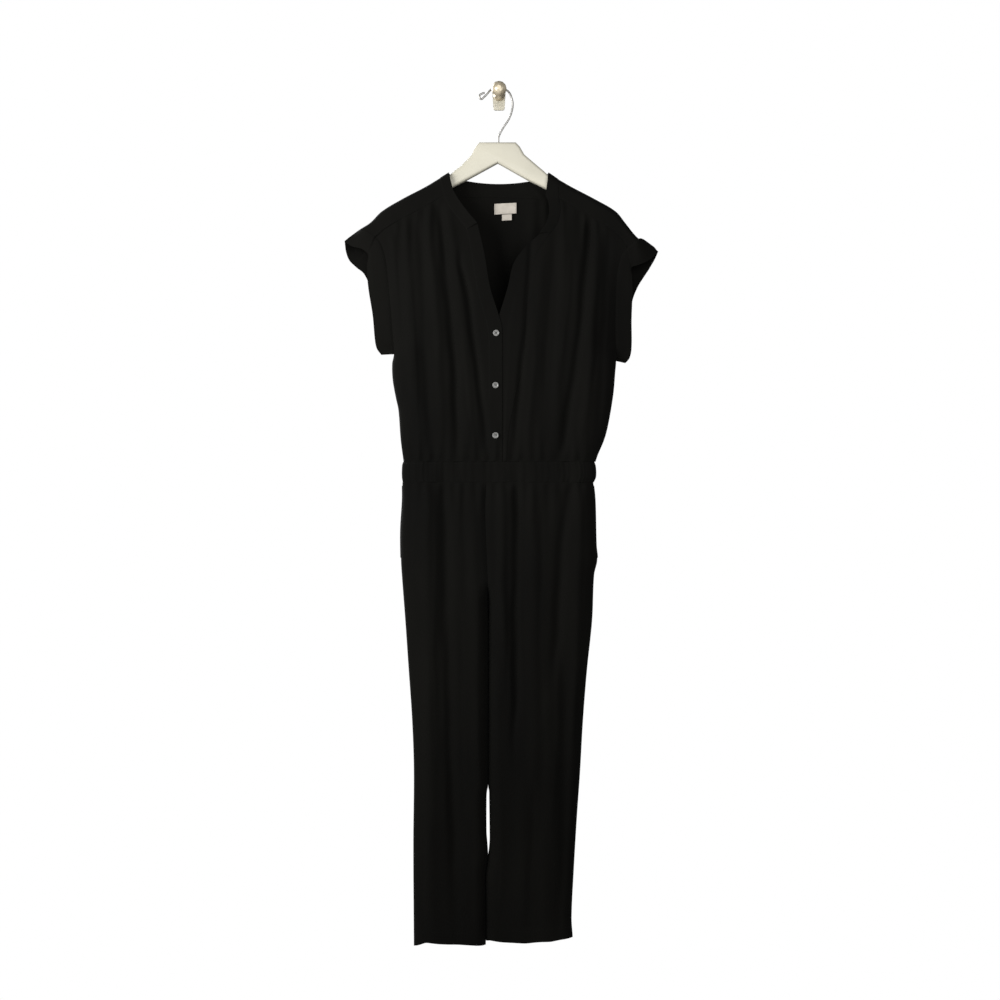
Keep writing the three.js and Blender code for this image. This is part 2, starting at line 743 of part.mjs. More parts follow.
const downRows = (from, to, column) => {
  const list = [];
  for (let r = from; r !== to; r += Math.sign(to - from)) list.push([r, column]);
  list.push([to, column]);
  return list;
};

// A turned-up cuff: a strip from the underarm up the front, over the shoulder and down the back
const cuffRows = 3;
const cuffProud = 1;
const cuffGap = 0.7;
const underarmGap = 1.3;

function cuff(side, front, shoulder, back) {
  const lastRow = shoulder.grid.length - 1;
  const backColumn = side.sign < 0 ? 0 : back.grid[0].length - 1;
  const loop = edgeLoop(
    { piece: front, at: downRows(sleeveRows, 0, bodiceColumns) },
    { piece: shoulder, at: downRows(1, lastRow - 1, yokeColumns) },
    { piece: back, at: downRows(0, sleeveRows, backColumn) },
  );
  const ridgeAt = sleeveRows + (lastRow / 2);
  const run = [0];
  for (let i = 1; i < loop.length; i += 1) {
    run.push(run[i - 1] + loop[i].point.distanceTo(loop[i - 1].point));
  }
  const opening = (i) => {
    const isFront = i <= ridgeAt;
    const v = isFront
      ? run[i] / run[ridgeAt]
      : (run[loop.length - 1] - run[i]) / (run[loop.length - 1] - run[ridgeAt]);
    const rows = isFront ? side.openingFront : side.openingBack;
    const depth = through(rows, 'v', 'depth')(v);
    const y = hangY + (isFront ? -depth : depth);
    return new THREE.Vector3(through(rows, 'v', 'x')(v), y, through(rows, 'v', 'z')(v));
  };
  const place = (r, c) => {
    const seam = loop[c].point.clone();
    const edge = opening(c);
    const across = edge.clone().sub(seam).normalize();
    const fromEnd = Math.min(c, loop.length - 1 - c);
    seam.addScaledVector(across, fromEnd < 3 ? underarmGap : cuffGap);
    const ends = fromEnd === 0 ? 0 : 1;
    const swell = ends * cuffProud * Math.sin(Math.PI * Math.min(r / cuffRows, 0.75));
    return seam.lerp(edge, r / cuffRows).addScaledVector(loop[c].way, swell);
  };
  const grid = gridOf(cuffRows, loop.length - 1, place);
  const outward = facing(grid, (point, r, c) => loop[c].way);
  loop.forEach((stop, c) => outward[0][c].copy(stop.way));
  outward.forEach((line) => {
    flatten(line[0], 'y');
    flatten(line[loop.length - 1], 'y');
  });
  return { grid, outward };
}

// The band collar: a strip round the neck from the left front to the right front. Its free edge
// runs between these places, each so far in front of the hanger's plane or behind it.
const collarEdge = {
  left: {
    corner: { x: -38, z: -239, depth: -22 },
    front: { x: -80, z: -181, depth: -ridgeDepth },
    ridge: { x: -88, z: -148.5 },
    back: { x: -66, z: -158, depth: ridgeDepth },
  },
  right: {
    corner: { x: 71, z: -256, depth: -22 },
    front: { x: 81, z: -190, depth: -ridgeDepth },
    ridge: { x: 86.5, z: -148.5 },
    back: { x: 66, z: -158, depth: ridgeDepth },
  },
  backDip: -7,
  backSwell: 2,
  frontBow: { left: -3, right: 11 },
};
const collarRows = 2;

function collar(left, leftYoke, back, rightYoke, right) {
  const stations = yokeStations();
  const last = stations.length - 1;
  const between = (a, b, t, bow = 0, dip = 0, swell = 0) => {
    const hump = 4 * t * (1 - t);
    const x = mix(a.x, b.x, t) + bow * hump;
    const z = mix(a.z, b.z, t) + dip * hump;
    return new THREE.Vector3(x, hangY + mix(a.depth, b.depth, t) + swell * hump, z);
  };
  const overRidge = (side, row) => {
    const { share, depth, face } = stations[row];
    const end = face < 0 ? side.front : side.back;
    const [x, z] = [mix(side.ridge.x, end.x, share), mix(side.ridge.z, end.z, share)];
    return new THREE.Vector3(x, hangY + face * depth * ridgeDepth, z);
  };
  const stops = [];
  const take = (piece, r, c, edge) => {
    stops.push({ point: piece.grid[r][c], way: piece.outward[r][c], edge });
  };
  const { left: onLeft, right: onRight, backDip, backSwell, frontBow } = collarEdge;
  for (let r = cornerRow; r >= 0; r -= 1) {
    take(left, r, 0, between(onLeft.front, onLeft.corner, r / cornerRow, frontBow.left));
  }
  for (let r = 1; r < last; r += 1) take(leftYoke, r, 0, overRidge(onLeft, r));
  for (let c = 0; c <= neckColumns; c += 1) {
    const edge = between(onLeft.back, onRight.back, c / neckColumns, 0, backDip, backSwell);
    take(back, 0, yokeColumns + c, edge);
  }
  for (let r = last - 1; r > 0; r -= 1) take(rightYoke, r, 0, overRidge(onRight, r));
  for (let r = 0; r <= cornerRow; r += 1) {
    take(right, r, 0, between(onRight.front, onRight.corner, r / cornerRow, frontBow.right));
  }
  const place = (r, c) => {
    const { point, edge } = stops[c];
    const across = edge.clone().sub(point).normalize();
    return point.clone().addScaledVector(across, seamGap * 2).lerp(edge, r / collarRows);
  };
  const grid = gridOf(collarRows, stops.length - 1, place);
  const outward = facing(grid, (point, r, c) => stops[c].way);
  stops.forEach((stop, c) => outward[0][c].copy(stop.way));
  return { grid, outward };
}

// Plackets: strips down both front edges. The left one lies over the right one.
const placketColumns = 4;
const overlapInset = clothThick + 1.2;
const overlapEdge = 7.5; // from here on the covered placket lies behind the other one

function placket(side) {
  const rows = bodiceRows - cornerRow;
  const over = side.sign < 0;
  const place = (r, c) => {
    const { inZ } = bodiceRow(side, r + cornerRow);
    const s = c / placketColumns;
    const top = bodiceRow(side, cornerRow).inZ;
    const slant = (side.placketFree[0].z - top) * s * (1 - clamp01(r / 2)) ** 2;
    const z = inZ + slant - (r === 0 ? seamGap : 0);
    const xSeam = side.innerX(inZ) - side.sign * halfGap;
    const free = side.placketX(z);
    const bend = Math.max(overlapEdge, mix(xSeam, free, 0.7));
    const last = placketColumns - 1;
    const x = over ? mix(xSeam, free, s) : c > last ? free : mix(xSeam, bend, c / last);
    const covered = c < last ? 0 : ease((-350 - z) / 45);
    const inset = over ? 0 : overlapInset * covered;
    return new THREE.Vector3(x, hangY - bodiceDepth(x, z, -1) + inset, z);
  };
  const grid = gridOf(rows, placketColumns, place);
  const outward = facing(grid, () => outFront);
  outward.forEach((line) => flatten(line[0], 'x'));
  outward[rows].forEach((way) => flatten(way, 'z'));
  return { grid, outward };
}

// The casing of the elastic waist, a front and a back piece with small even gathers
const casingColumns = 48;
const casingRows = 2;
const casingGathers = 12;
const gatherHeight = 1.2;
const casingProud = 0.8;

function casing(face) {
  const place = (r, c) => {
    const z = mix(waistTop - halfGap, waistBottom + halfGap, r / casingRows);
    const a = (Math.PI * c) / casingColumns;
    const xLeft = leftSide.casingX(z);
    const xRight = rightSide.casingX(z);
    const s = mix(c / casingColumns, (1 - Math.cos(a)) / 2, 0.8);
    const x = mix(xLeft, xRight, s);
    const away = Math.min(x - xLeft, xRight - x);
    const full = (face < 0 ? frontFull(z) : backFull(z)) + casingProud;
    const gather = gatherHeight * Math.cos(2 * Math.PI * casingGathers * (c / casingColumns));
    const depth = mix(halfGap, full, rounded(away / 40)) + gather * ease(away / 20);
    return new THREE.Vector3(x, hangY + face * depth, z);
  };
  const grid = gridOf(casingRows, casingColumns, place);
  const outward = facing(grid, () => outOf(face));
  outward.forEach((line) => {
    flatten(line[0], 'y');
    flatten(line[casingColumns], 'y');
  });
  outward[0].forEach((way) => flatten(way, 'z'));
  outward[casingRows].forEach((way) => flatten(way, 'z'));
  return { grid, outward };
}

// Trouser legs, a front and a back panel each. Above the crotch the panels meet at the centre
// seam, and below it each leg is a tube of its own.
const legRowsAbove = 5;
const legRows = 18;
const legColumns = { front: 12, back: 8 };
const pocket = { top: -696, bottom: -822, gap: 1.4, wide: 14, thick: 2, proud: 1 };

// Half of the gap at the side seam, which opens to let the edge of the pocket through
function sideHalfGap(z) {
  return mix(halfGap, pocket.gap, ease((z - pocket.bottom + 14) / 10));
}

function legDepth(x, z, face, xIn, xOut) {
  const front = face < 0;
  const full = front ? frontFull(z) : backFull(z);
  const awayOut = Math.abs(xOut - x);
  const awayIn = Math.abs(x - xIn);
  const turned = ease((crotchZ + crotchRise - z) / crotchRise);
  const roundIn = mix(1, rounded(awayIn / 20), turned);
  const roundOut = rounded(awayOut / 40);
  const folds = front ? trouserFrontFolds : trouserBackFolds;
  const calm = ease(awayOut / 24) * mix(1, ease(awayIn / 18), turned);
  const nearWaist = ease((waistBottom - z) / 22);
  const height = foldHeight(folds, x, z) * calm * mix(0.3, 1, nearWaist);
  const inner = mix(halfGap, full, roundIn);
  return mix(sideHalfGap(z), inner, roundOut) + height;
}

function legPanel(side, face) {
  const columns = face < 0 ? legColumns.front : legColumns.back;
  const folds = face < 0 ? trouserFrontFolds : trouserBackFolds;
  const place = (r, c) => {
    const top = waistBottom - halfGap;
    const bottom = side.hem[0].z;
    const level = r <= legRowsAbove
      ? mix(top, crotchZ, r / legRowsAbove)
      : mix(crotchZ, bottom, (r - legRowsAbove) / (legRows - legRowsAbove));
    const xIn = side.trouserInnerX(level);
    const xOut = side.trouserOuterX(level);
    const below = level < crotchZ + crotchRise ? 1 : 0;
    const s = columnPlaces(columns, folds, xIn, xOut, level, below, 1)[c];
    const x = mix(xIn, xOut, s);
    const drop = ease((level - bottom - 240) / -240);
    const longer = face > 0 ? 1.5 : 0;
    const z = level + (side.hemZ(x) - bottom - longer) * drop;
    return new THREE.Vector3(x, hangY + face * legDepth(x, z, face, xIn, xOut), z);
  };
  const grid = gridOf(legRows, columns, place);
  const outward = facing(grid, (point, r, c) => {
    const towards = outOf(face).clone();
    if (c === columns) towards.set(side.sign, face * 0.1, 0);
    if (c === 0 && r >= legRowsAbove) towards.set(-side.sign, face * 0.1, 0);
    return towards;
  });
  outward.forEach((line, r) => {
    flatten(line[columns], 'y');
    if (r < legRowsAbove) flatten(line[0], 'x');
    if (r >= legRowsAbove) flatten(line[0], 'y');
  });
  outward[0].forEach((way) => flatten(way, 'z'));
  return { grid, outward };
}

// The edge of a side pocket's bag, which shows between the front and the back at the side seam
function pocketEdge(side) {
  const rows = 6;
  const place = (r, c) => {
    const z = mix(pocket.top, pocket.bottom, r / rows);
    const edge = side.trouserOuterX(z) + side.sign * pocket.proud;
    const x = mix(edge - side.sign * pocket.wide, edge, c);
    return new THREE.Vector3(x, hangY - pocket.thick / 2, z);
  };
  const grid = gridOf(rows, 1, place);
  return { grid, outward: grid.map((line) => line.map(() => outFront.clone())) };
}

// Pieces of the garment
const frontLeft = frontPanel(leftSide);
const frontRight = frontPanel(rightSide);
const back = backPanel();
const yokeLeft = yoke(leftSide);
const yokeRight = yoke(rightSide);

function addCloth(name, piece, thick = clothThick) {
  add(name, clothWall(piece.grid, piece.outward, thick), blackCrepe);
}

addCloth('front_left', frontLeft);
addCloth('front_right', frontRight);
addCloth('back', back);
addCloth('yoke_left', yokeLeft);
addCloth('yoke_right', yokeRight);
addCloth('cuff_left', cuff(leftSide, frontLeft, yokeLeft, back), cuffThick);
addCloth('cuff_right', cuff(rightSide, frontRight, yokeRight, back), cuffThick);
addCloth('collar_band', collar(frontLeft, yokeLeft, back, yokeRight, frontRight));
addCloth('placket_over', placket(leftSide));
addCloth('placket_under', placket(rightSide));
addCloth('waist_casing_front', casing(-1));
addCloth('waist_casing_back', casing(1));
addCloth('leg_front_left', legPanel(leftSide, -1));
addCloth('leg_front_right', legPanel(rightSide, -1));
addCloth('leg_back_left', legPanel(leftSide, 1));
addCloth('leg_back_right', legPanel(rightSide, 1));
addCloth('pocket_left', pocketEdge(leftSide), pocket.thick);
addCloth('pocket_right', pocketEdge(rightSide), pocket.thick);

// Buttons: discs with a sunk middle and four holes
const button = { radius: 5.5, thick: 2.2, holeRadius: 0.8, holeAway: 1.5 };
const buttonPlaces = {
  button_top: { x: -5, z: -431.5 },
  button_middle: { x: -6, z: -522 },
  button_bottom: { x: -6, z: -609 },
};

function buttonGeometry() {
  const outline = new THREE.Shape();
  const bevel = 0.5;
  outline.absarc(0, 0, button.radius - bevel, 0, Math.PI * 2);
  for (let i = 0; i < 4; i += 1) {
    const a = (Math.PI / 2) * (i + 0.5);
    const hole = new THREE.Path();
    const [x, y] = [button.holeAway * Math.cos(a), button.holeAway * Math.sin(a)];
    hole.absarc(x, y, button.holeRadius, 0, Math.PI * 2, true);
    outline.holes.push(hole);
  }
  const geometry = new THREE.ExtrudeGeometry(outline, {
    depth: button.thick - 2 * bevel,
    bevelThickness: bevel,
    bevelSize: bevel,
    bevelSegments: 1,
    curveSegments: 5,
  });
  return geometry.translate(0, 0, bevel).rotateX(Math.PI / 2);
}

for (const [name, { x, z }] of Object.entries(buttonPlaces)) {
  const reach = button.radius;
  const around = [[0, 0], [reach, 0], [-reach, 0], [0, reach], [0, -reach]];
  const depths = around.map(([dx, dz]) => bodiceDepth(x + dx, z + dz, -1));
  const mesh = add(name, buttonGeometry(), pearl);
  mesh.position.set(x, hangY - Math.max(...depths) - seamGap, z);
}

// Labels on the inside of the back, with nothing written on them
function label(middleX, middleZ, wide, tall, tilt) {
  const place = (r, c) => {
    const dx = wide * (c / 4 - 0.5);
    const x = middleX + dx;
    const z = middleZ + tall * (0.5 - r / 2) + dx * tilt;
    const onCloth = hangY + bodiceDepth(x, z, 1) - clothThick - 2 * seamGap;
    return new THREE.Vector3(x, onCloth - labelThick, z);
  };
  const grid = gridOf(2, 4, place);
  const outward = facing(grid, () => outFront);
  return clothWall(grid, outward, labelThick);
}
const labelTilt = 0.05;
add('label_main', label(11.2, -208.8, 38.5, 18.5, labelTilt), wovenLabel);
add('label_small', label(13.8, -224.2, 17, 10.5, labelTilt), wovenLabel);

// The hanger's wooden body, with rounded edges
const wood = { thick: 18, round: 5, below: 3.6, tip: 196, tipDrop: 3 };
const woodTop = [
  { x: -98, z: -161.5 },
  { x: -90, z: -156 },
  { x: -84, z: -151.5 },
  { x: -77, z: -145 },
  { x: -66.5, z: -137 },
  { x: -49, z: -119 },
  { x: -41, z: -103 },
  { x: -34, z: -96 },
  { x: 29, z: -96 },
  { x: 36, z: -103 },
  { x: 44, z: -117 },
  { x: 66, z: -136 },
  { x: 77, z: -145 },
  { x: 84, z: -151.5 },
  { x: 90, z: -156 },
  { x: 98, z: -161.5 },
];
const woodUnderside = [
  { x: 200, z: -236 },
  { x: 82, z: -177 },
  { x: 51, z: -162 },
  { x: -2, z: -132 },
  { x: -53, z: -160 },
  { x: -86, z: -177 },
  { x: -200, z: -236 },
];

function hangerBody() {
  const outline = new THREE.Shape();
  const underCloth = (x) => {
    const nearTip = ease((Math.abs(x) - 165) / 30);
    return ridgeZ(x) - wood.below - wood.tipDrop * nearTip;
  };
  outline.moveTo(-wood.tip, underCloth(-wood.tip));
  for (let x = -wood.tip + 14; x < -102; x += 15) outline.lineTo(x, underCloth(x));
  woodTop.forEach(({ x, z }) => outline.lineTo(x, z));
  for (let x = 103; x < wood.tip; x += 15) outline.lineTo(x, underCloth(x));
  outline.lineTo(wood.tip, underCloth(wood.tip));
  woodUnderside.forEach(({ x, z }) => outline.lineTo(x, z));
  const geometry = new THREE.ExtrudeGeometry(outline, {
    depth: wood.thick - 2 * wood.round,
    bevelThickness: wood.round,
    bevelSize: wood.round,
    bevelOffset: -wood.round,
    bevelSegments: 3,
  });
  return geometry.translate(0, 0, wood.round - wood.thick / 2).rotateX(Math.PI / 2);
}
add('hanger_body', hangerBody(), whitePaint).position.y = hangY;

// The hanger's wire hook: a curl at its end, an arc over the knob's stem, then a swan neck down
// to the wood
const wire = { radius: 1.7, steps: 48 };
const wirePath = [
  { x: -24.8, z: -8.5 },
  { x: -29.8, z: -9.9 },
  { x: -33.4, z: -12.2 },
  { x: -34.3, z: -16.1 },
  { x: -30.9, z: -19.4 },
  { x: -27, z: -16.6 },
  { x: -21.4, z: -11.1 },
  { x: -14.7, z: -3.6 },
  { x: -8, z: -0.85 },
  { x: -1, z: 0.03 },
  { x: 5.6, z: -0.75 },
  { x: 12, z: -3.2 },
  { x: 17.6, z: -7.7 },
  { x: 22.1, z: -17.8 },
  { x: 24, z: -27.8 },
  { x: 22.7, z: -39 },
  { x: 18.7, z: -51.2 },
  { x: 14.5, z: -59 },
  { x: 8, z: -68.5 },
  { x: 2, z: -79 },
  { x: -0.8, z: -86 },
  { x: -1.2, z: -91 },
  { x: -1.2, z: -95.7 },
];

function hangerHook() {
  const section = new THREE.Shape();
  section.absarc(0, 0, wire.radius, 0, Math.PI * 2);
  const points = wirePath.map(({ x, z }) => new THREE.Vector3(x, hangY, z));
  return new THREE.ExtrudeGeometry(section, {
    steps: wire.steps,
    curveSegments: 4,
    extrudePath: new THREE.CatmullRomCurve3(points),
  });
}
add('hanger_hook', hangerHook(), chrome);

// The wall hook: a flat plate that narrows downwards, and a knob on a stem with a flared foot
const plate = { topWide: 24, bottomWide: 20, top: 8, bottom: -31, corner: 4, thick: 5 };
const knob = { radius: 13.4, z: -5, turns: 14, rings: 10 };
const stemRadius = 3;
const stemProfile = [
  { across: 0, away: plate.thick + seamGap },
  { across: 10.5, away: plate.thick + seamGap },
  { across: 9.5, away: 9 },
  { across: 5.5, away: 20 },
  { across: stemRadius, away: 31 },
];

function wallPlate() {
  const r = plate.corner;
  const outline = new THREE.Shape();
  outline.absarc(r - plate.bottomWide / 2, plate.bottom + r, r, Math.PI, Math.PI * 1.5);
  outline.absarc(plate.bottomWide / 2 - r, plate.bottom + r, r, Math.PI * 1.5, Math.PI * 2);
  outline.absarc(plate.topWide / 2 - r, plate.top - r, r, 0, Math.PI / 2);
  outline.absarc(r - plate.topWide / 2, plate.top - r, r, Math.PI / 2, Math.PI);
  const settings = { depth: plate.thick, bevelEnabled: false, curveSegments: 6 };
  return new THREE.ExtrudeGeometry(outline, settings).rotateX(Math.PI / 2);
}
add('wall_plate', wallPlate(), clearKnob);

function wallKnob() {
  const ballAt = -hangY + wire.radius + knob.radius + 2 * seamGap;
  const profile = stemProfile.map(({ across, away }) => new THREE.Vector2(across, away));
  const firstAngle = Math.asin(stemRadius / knob.radius);
  for (let i = 0; i <= knob.rings; i += 1) {
    const a = mix(firstAngle, Math.PI, i / knob.rings);
    const across = i === knob.rings ? 0 : knob.radius * Math.sin(a);
    profile.push(new THREE.Vector2(across, ballAt - knob.radius * Math.cos(a)));
  }
  return new THREE.LatheGeometry(profile, knob.turns).rotateX(Math.PI).translate(0, 0, knob.z);
}
add('wall_knob', wallKnob(), clearKnob);

export default jumpsuit;
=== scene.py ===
import math

import bmesh
import bpy
import numpy as np
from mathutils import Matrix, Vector


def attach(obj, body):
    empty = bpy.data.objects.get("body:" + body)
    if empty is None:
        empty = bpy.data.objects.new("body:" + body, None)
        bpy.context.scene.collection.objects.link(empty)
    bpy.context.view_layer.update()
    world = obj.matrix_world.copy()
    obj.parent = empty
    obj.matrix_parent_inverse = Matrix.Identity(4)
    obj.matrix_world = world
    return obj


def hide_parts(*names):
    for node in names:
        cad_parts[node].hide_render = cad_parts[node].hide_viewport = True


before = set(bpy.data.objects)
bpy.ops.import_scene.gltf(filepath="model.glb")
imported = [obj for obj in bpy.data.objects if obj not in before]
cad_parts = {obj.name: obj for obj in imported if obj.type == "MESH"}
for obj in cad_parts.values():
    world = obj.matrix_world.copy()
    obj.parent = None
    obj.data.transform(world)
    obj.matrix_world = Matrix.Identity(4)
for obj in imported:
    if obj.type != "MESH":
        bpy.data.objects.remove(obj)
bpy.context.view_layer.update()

mm = 0.001
print("frame loaded")


def placed(name, data):
    piece = bpy.data.objects.new(name, data)
    bpy.context.collection.objects.link(piece)
    return piece


# Camera, world and lamps
view = {"x": 1.75, "z": -721.0, "away": 3000.0, "planeY": -38.0, "wide": 1750.0, "sensor": 36.0}
cameraData = bpy.data.cameras.new("front_camera")
cameraData.sensor_width = view["sensor"]
cameraData.lens = view["sensor"] * view["away"] / view["wide"]
camera = placed("front_camera", cameraData)
camera.location = (view["x"] * mm, (view["planeY"] - view["away"]) * mm, view["z"] * mm)
camera.rotation_euler = (math.radians(90), 0, 0)
bpy.context.scene.camera = camera

room = {"floorZ": -1950.0, "floorRadius": 1150.0, "white": 1.0, "fill": 0.105}
world = bpy.data.worlds.new("studio")
bpy.context.scene.world = world
world.use_nodes = True
sky = world.node_tree
skyShade = sky.nodes["Background"]
skyShade.inputs["Color"].default_value = (1, 1, 1, 1)
skyPath = sky.nodes.new("ShaderNodeLightPath")
skyLevel = sky.nodes.new("ShaderNodeMix")
skyLevel.inputs["A"].default_value = room["fill"]
skyLevel.inputs["B"].default_value = room["white"]
sky.links.new(skyPath.outputs["Is Camera Ray"], skyLevel.inputs["Factor"])
sky.links.new(skyLevel.outputs["Result"], skyShade.inputs["Strength"])
bpy.context.scene.view_settings.view_transform = "Standard"

aimAt = Vector((0, -38, -380)) * mm  # a little above the garment's waist
lamps = [  # place in millimetres, size in metres and power of each soft lamp
    {"name": "window_left", "at": (-1150, -900, -260), "size": 1.0, "power": 25.0},
    {"name": "room_front", "at": (420, -1300, -220), "size": 1.2, "power": 11.5},
    {"name": "window_back", "at": (-1900, 2600, 800), "size": 2.0, "power": 130.0},
]
for lamp in lamps:
    lampData = bpy.data.lights.new(lamp["name"], "AREA")
    lampData.size = lamp["size"]
    lampData.energy = lamp["power"]
    lampObject = placed(lamp["name"], lampData)
    lampObject.location = Vector(lamp["at"]) * mm
    lampObject.visible_camera = False
    lampObject.rotation_euler = (aimAt - lampObject.location).to_track_quat("-Z", "Y").to_euler()


# Materials
def newMaterial(name, colour, roughness, **sockets):
    material = bpy.data.materials.new(name)
    material.use_nodes = True
    shader = material.node_tree.nodes["Principled BSDF"]
    shader.inputs["Base Color"].default_value = (*colour, 1)
    shader.inputs["Roughness"].default_value = roughness
    for socket, value in sockets.items():
        shader.inputs[socket.replace("_", " ")].default_value = value
    return material, material.node_tree, shader


def noiseNode(tree, scale, detail=3.0, stretch=None):
    source = tree.nodes.new("ShaderNodeTexCoord").outputs["Object"]
    noise = tree.nodes.new("ShaderNodeTexNoise")
    noise.inputs["Scale"].default_value = scale
    noise.inputs["Detail"].default_value = detail
    if stretch:
        mapping = tree.nodes.new("ShaderNodeMapping")
        mapping.inputs["Scale"].default_value = stretch
        tree.links.new(source, mapping.inputs["Vector"])
        source = mapping.outputs["Vector"]
    tree.links.new(source, noise.inputs["Vector"])
    return noise


def tintBy(tree, shader, noise, stops):
    ramp = tree.nodes.new("ShaderNodeValToRGB")
    while len(ramp.color_ramp.elements) < len(stops):
        ramp.color_ramp.elements.new(0.5)
    for element, (place, colour) in zip(ramp.color_ramp.elements, stops):
        element.position = place
        element.color = (*colour, 1)
    tree.links.new(noise.outputs["Fac"], ramp.inputs["Fac"])
    tree.links.new(ramp.outputs["Color"], shader.inputs["Base Color"])


def bumpBy(tree, shader, layers):
    # each layer is a texture, a strength and a depth in metres, and lies on the one before it
    below = None
    for texture, strength, distance in layers:
        bump = tree.nodes.new("ShaderNodeBump")
        bump.inputs["Strength"].default_value = strength
        bump.inputs["Distance"].default_value = distance
        tree.links.new(texture.outputs["Fac"], bump.inputs["Height"])
        if below:
            tree.links.new(below, bump.inputs["Normal"])
        below = bump.outputs["Normal"]
    tree.links.new(below, shader.inputs["Normal"])


def crepeMaterial():
    dark, light = (0.0020, 0.0019, 0.0015), (0.0042, 0.0040, 0.0031)
    material, tree, shader = newMaterial("black_crepe_cloth", light, 0.9, Specular_IOR_Level=0.09,
                                         Sheen_Weight=0.008, Sheen_Roughness=0.5)
    worn = noiseNode(tree, 9.0, 4.0, (1.0, 1.0, 0.35))
    tintBy(tree, shader, worn, [(0.3, dark), (0.72, light)])
    pebble = noiseNode(tree, 1500.0, 2.0)
    slub = noiseNode(tree, 260.0, 2.0, (1.0, 1.0, 0.12))
    bumpBy(tree, shader, [(slub, 0.25, 0.0002), (pebble, 0.35, 0.00015)])
    return material


def threadMaterial():
    material, tree, shader = newMaterial("black_thread", (0.003, 0.003, 0.0026), 0.75,
                                         Specular_IOR_Level=0.15)
    bumpBy(tree, shader, [(noiseNode(tree, 2600.0, 1.0, (1.0, 1.0, 0.3)), 0.4, 0.0001)])
    return material


def pearlMaterial():
    material, tree, shader = newMaterial("pearl_button_shell", (0.2, 0.2, 0.19), 0.3,
                                         Coat_Weight=0.4, Coat_Roughness=0.12)
    swirl = noiseNode(tree, 240.0, 4.0, (1.0, 1.0, 2.2))
    stops = [(0.3, (0.11, 0.11, 0.105)), (0.55, (0.2, 0.2, 0.19)), (0.75, (0.29, 0.285, 0.27))]
    tintBy(tree, shader, swirl, stops)
    return material


def labelMaterial():
    material, tree, shader = newMaterial("woven_label_tape", (0.5, 0.455, 0.4), 0.7, Sheen_Weight=0.25)
    place = tree.nodes.new("ShaderNodeTexCoord")
    threads = []
    for direction, scale in (("X", 480.0), ("Z", 640.0)):
        wave = tree.nodes.new("ShaderNodeTexWave")
        wave.bands_direction = direction
        wave.inputs["Scale"].default_value = scale
        tree.links.new(place.outputs["Object"], wave.inputs["Vector"])
        threads.append((wave, 0.3, 0.0001))
    bumpBy(tree, shader, threads)
    soil = noiseNode(tree, 90.0)
    tintBy(tree, shader, soil, [(0.3, (0.44, 0.4, 0.345)), (0.7, (0.54, 0.495, 0.43))])
    return material


def paintedWoodMaterial():
    material, tree, shader = newMaterial("white_painted_wood", (0.6, 0.57, 0.47), 0.42,
                                         Coat_Weight=0.15, Coat_Roughness=0.3)
    cast = noiseNode(tree, 14.0, 2.0)
    tintBy(tree, shader, cast, [(0.3, (0.575, 0.55, 0.45)), (0.7, (0.635, 0.605, 0.5))])
    bumpBy(tree, shader, [(noiseNode(tree, 180.0, 3.0, (0.06, 1.0, 1.0)), 0.12, 0.0003)])
    return material


def chromeMaterial():
    material, tree, shader = newMaterial("chrome_hook_wire", (0.42, 0.41, 0.39), 0.32, Metallic=1.0)
    level = tree.nodes.new("ShaderNodeMapRange")
    level.inputs["To Min"].default_value = 0.24
    level.inputs["To Max"].default_value = 0.4
    tree.links.new(noiseNode(tree, 300.0, 2.0).outputs["Fac"], level.inputs["Value"])
    tree.links.new(level.outputs["Result"], shader.inputs["Roughness"])
    return material


def plateMaterial():
    material, tree, shader = newMaterial("cream_hook_plate", (0.72, 0.68, 0.55), 0.4,
                                         Transmission_Weight=0.25)
    cloud = noiseNode(tree, 60.0, 2.0)
    tintBy(tree, shader, cloud, [(0.3, (0.66, 0.62, 0.49)), (0.7, (0.78, 0.74, 0.62))])
    return material


def knobMaterial():
    material, tree, shader = newMaterial("champagne_knob", (0.62, 0.53, 0.38), 0.3,
                                         Metallic=0.35, Coat_Weight=0.12)
    tint = noiseNode(tree, 70.0, 1.0)
    tintBy(tree, shader, tint, [(0.35, (0.46, 0.39, 0.27)), (0.65, (0.78, 0.68, 0.5))])
    return material


cloth = crepeMaterial()
thread = threadMaterial()
pearl = pearlMaterial()
tape = labelMaterial()
paint = paintedWoodMaterial()
chrome = chromeMaterial()
cream = plateMaterial()
champagne = knobMaterial()
print("materials made")


# Small numeric helpers
def mix(a, b, t):
    return a + (b - a) * t


def clamp01(t):
    return np.clip(t, 0.0, 1.0)


def ease(t):
    c = clamp01(t)
    return c * c * (3 - 2 * c)


def rounded(t):
    c = 1 - clamp01(t)
    return np.sqrt(np.maximum(1 - c * c, 0))


def curveThrough(rows):
    places, values = np.array(sorted(rows), dtype=float).T
    before = np.maximum(np.arange(len(places)) - 1, 0)
    after = np.minimum(np.arange(len(places)) + 1, len(places) - 1)
    slopes = (values[after] - values[before]) / (places[after] - places[before])

    def at(place):
        place = np.clip(np.asarray(place, dtype=float), places[0], places[-1])
        i = np.clip(np.searchsorted(places, place) - 1, 0, len(places) - 2)
        span = places[i + 1] - places[i]
        t = (place - places[i]) / span
        t2, t3 = t * t, t * t * t
        return (
            (2 * t3 - 3 * t2 + 1) * values[i]
            + (t3 - 2 * t2 + t) * span * slopes[i]
            + (3 * t2 - 2 * t3) * values[i + 1]
            + (t3 - t2) * span * slopes[i + 1]
        )

    return at


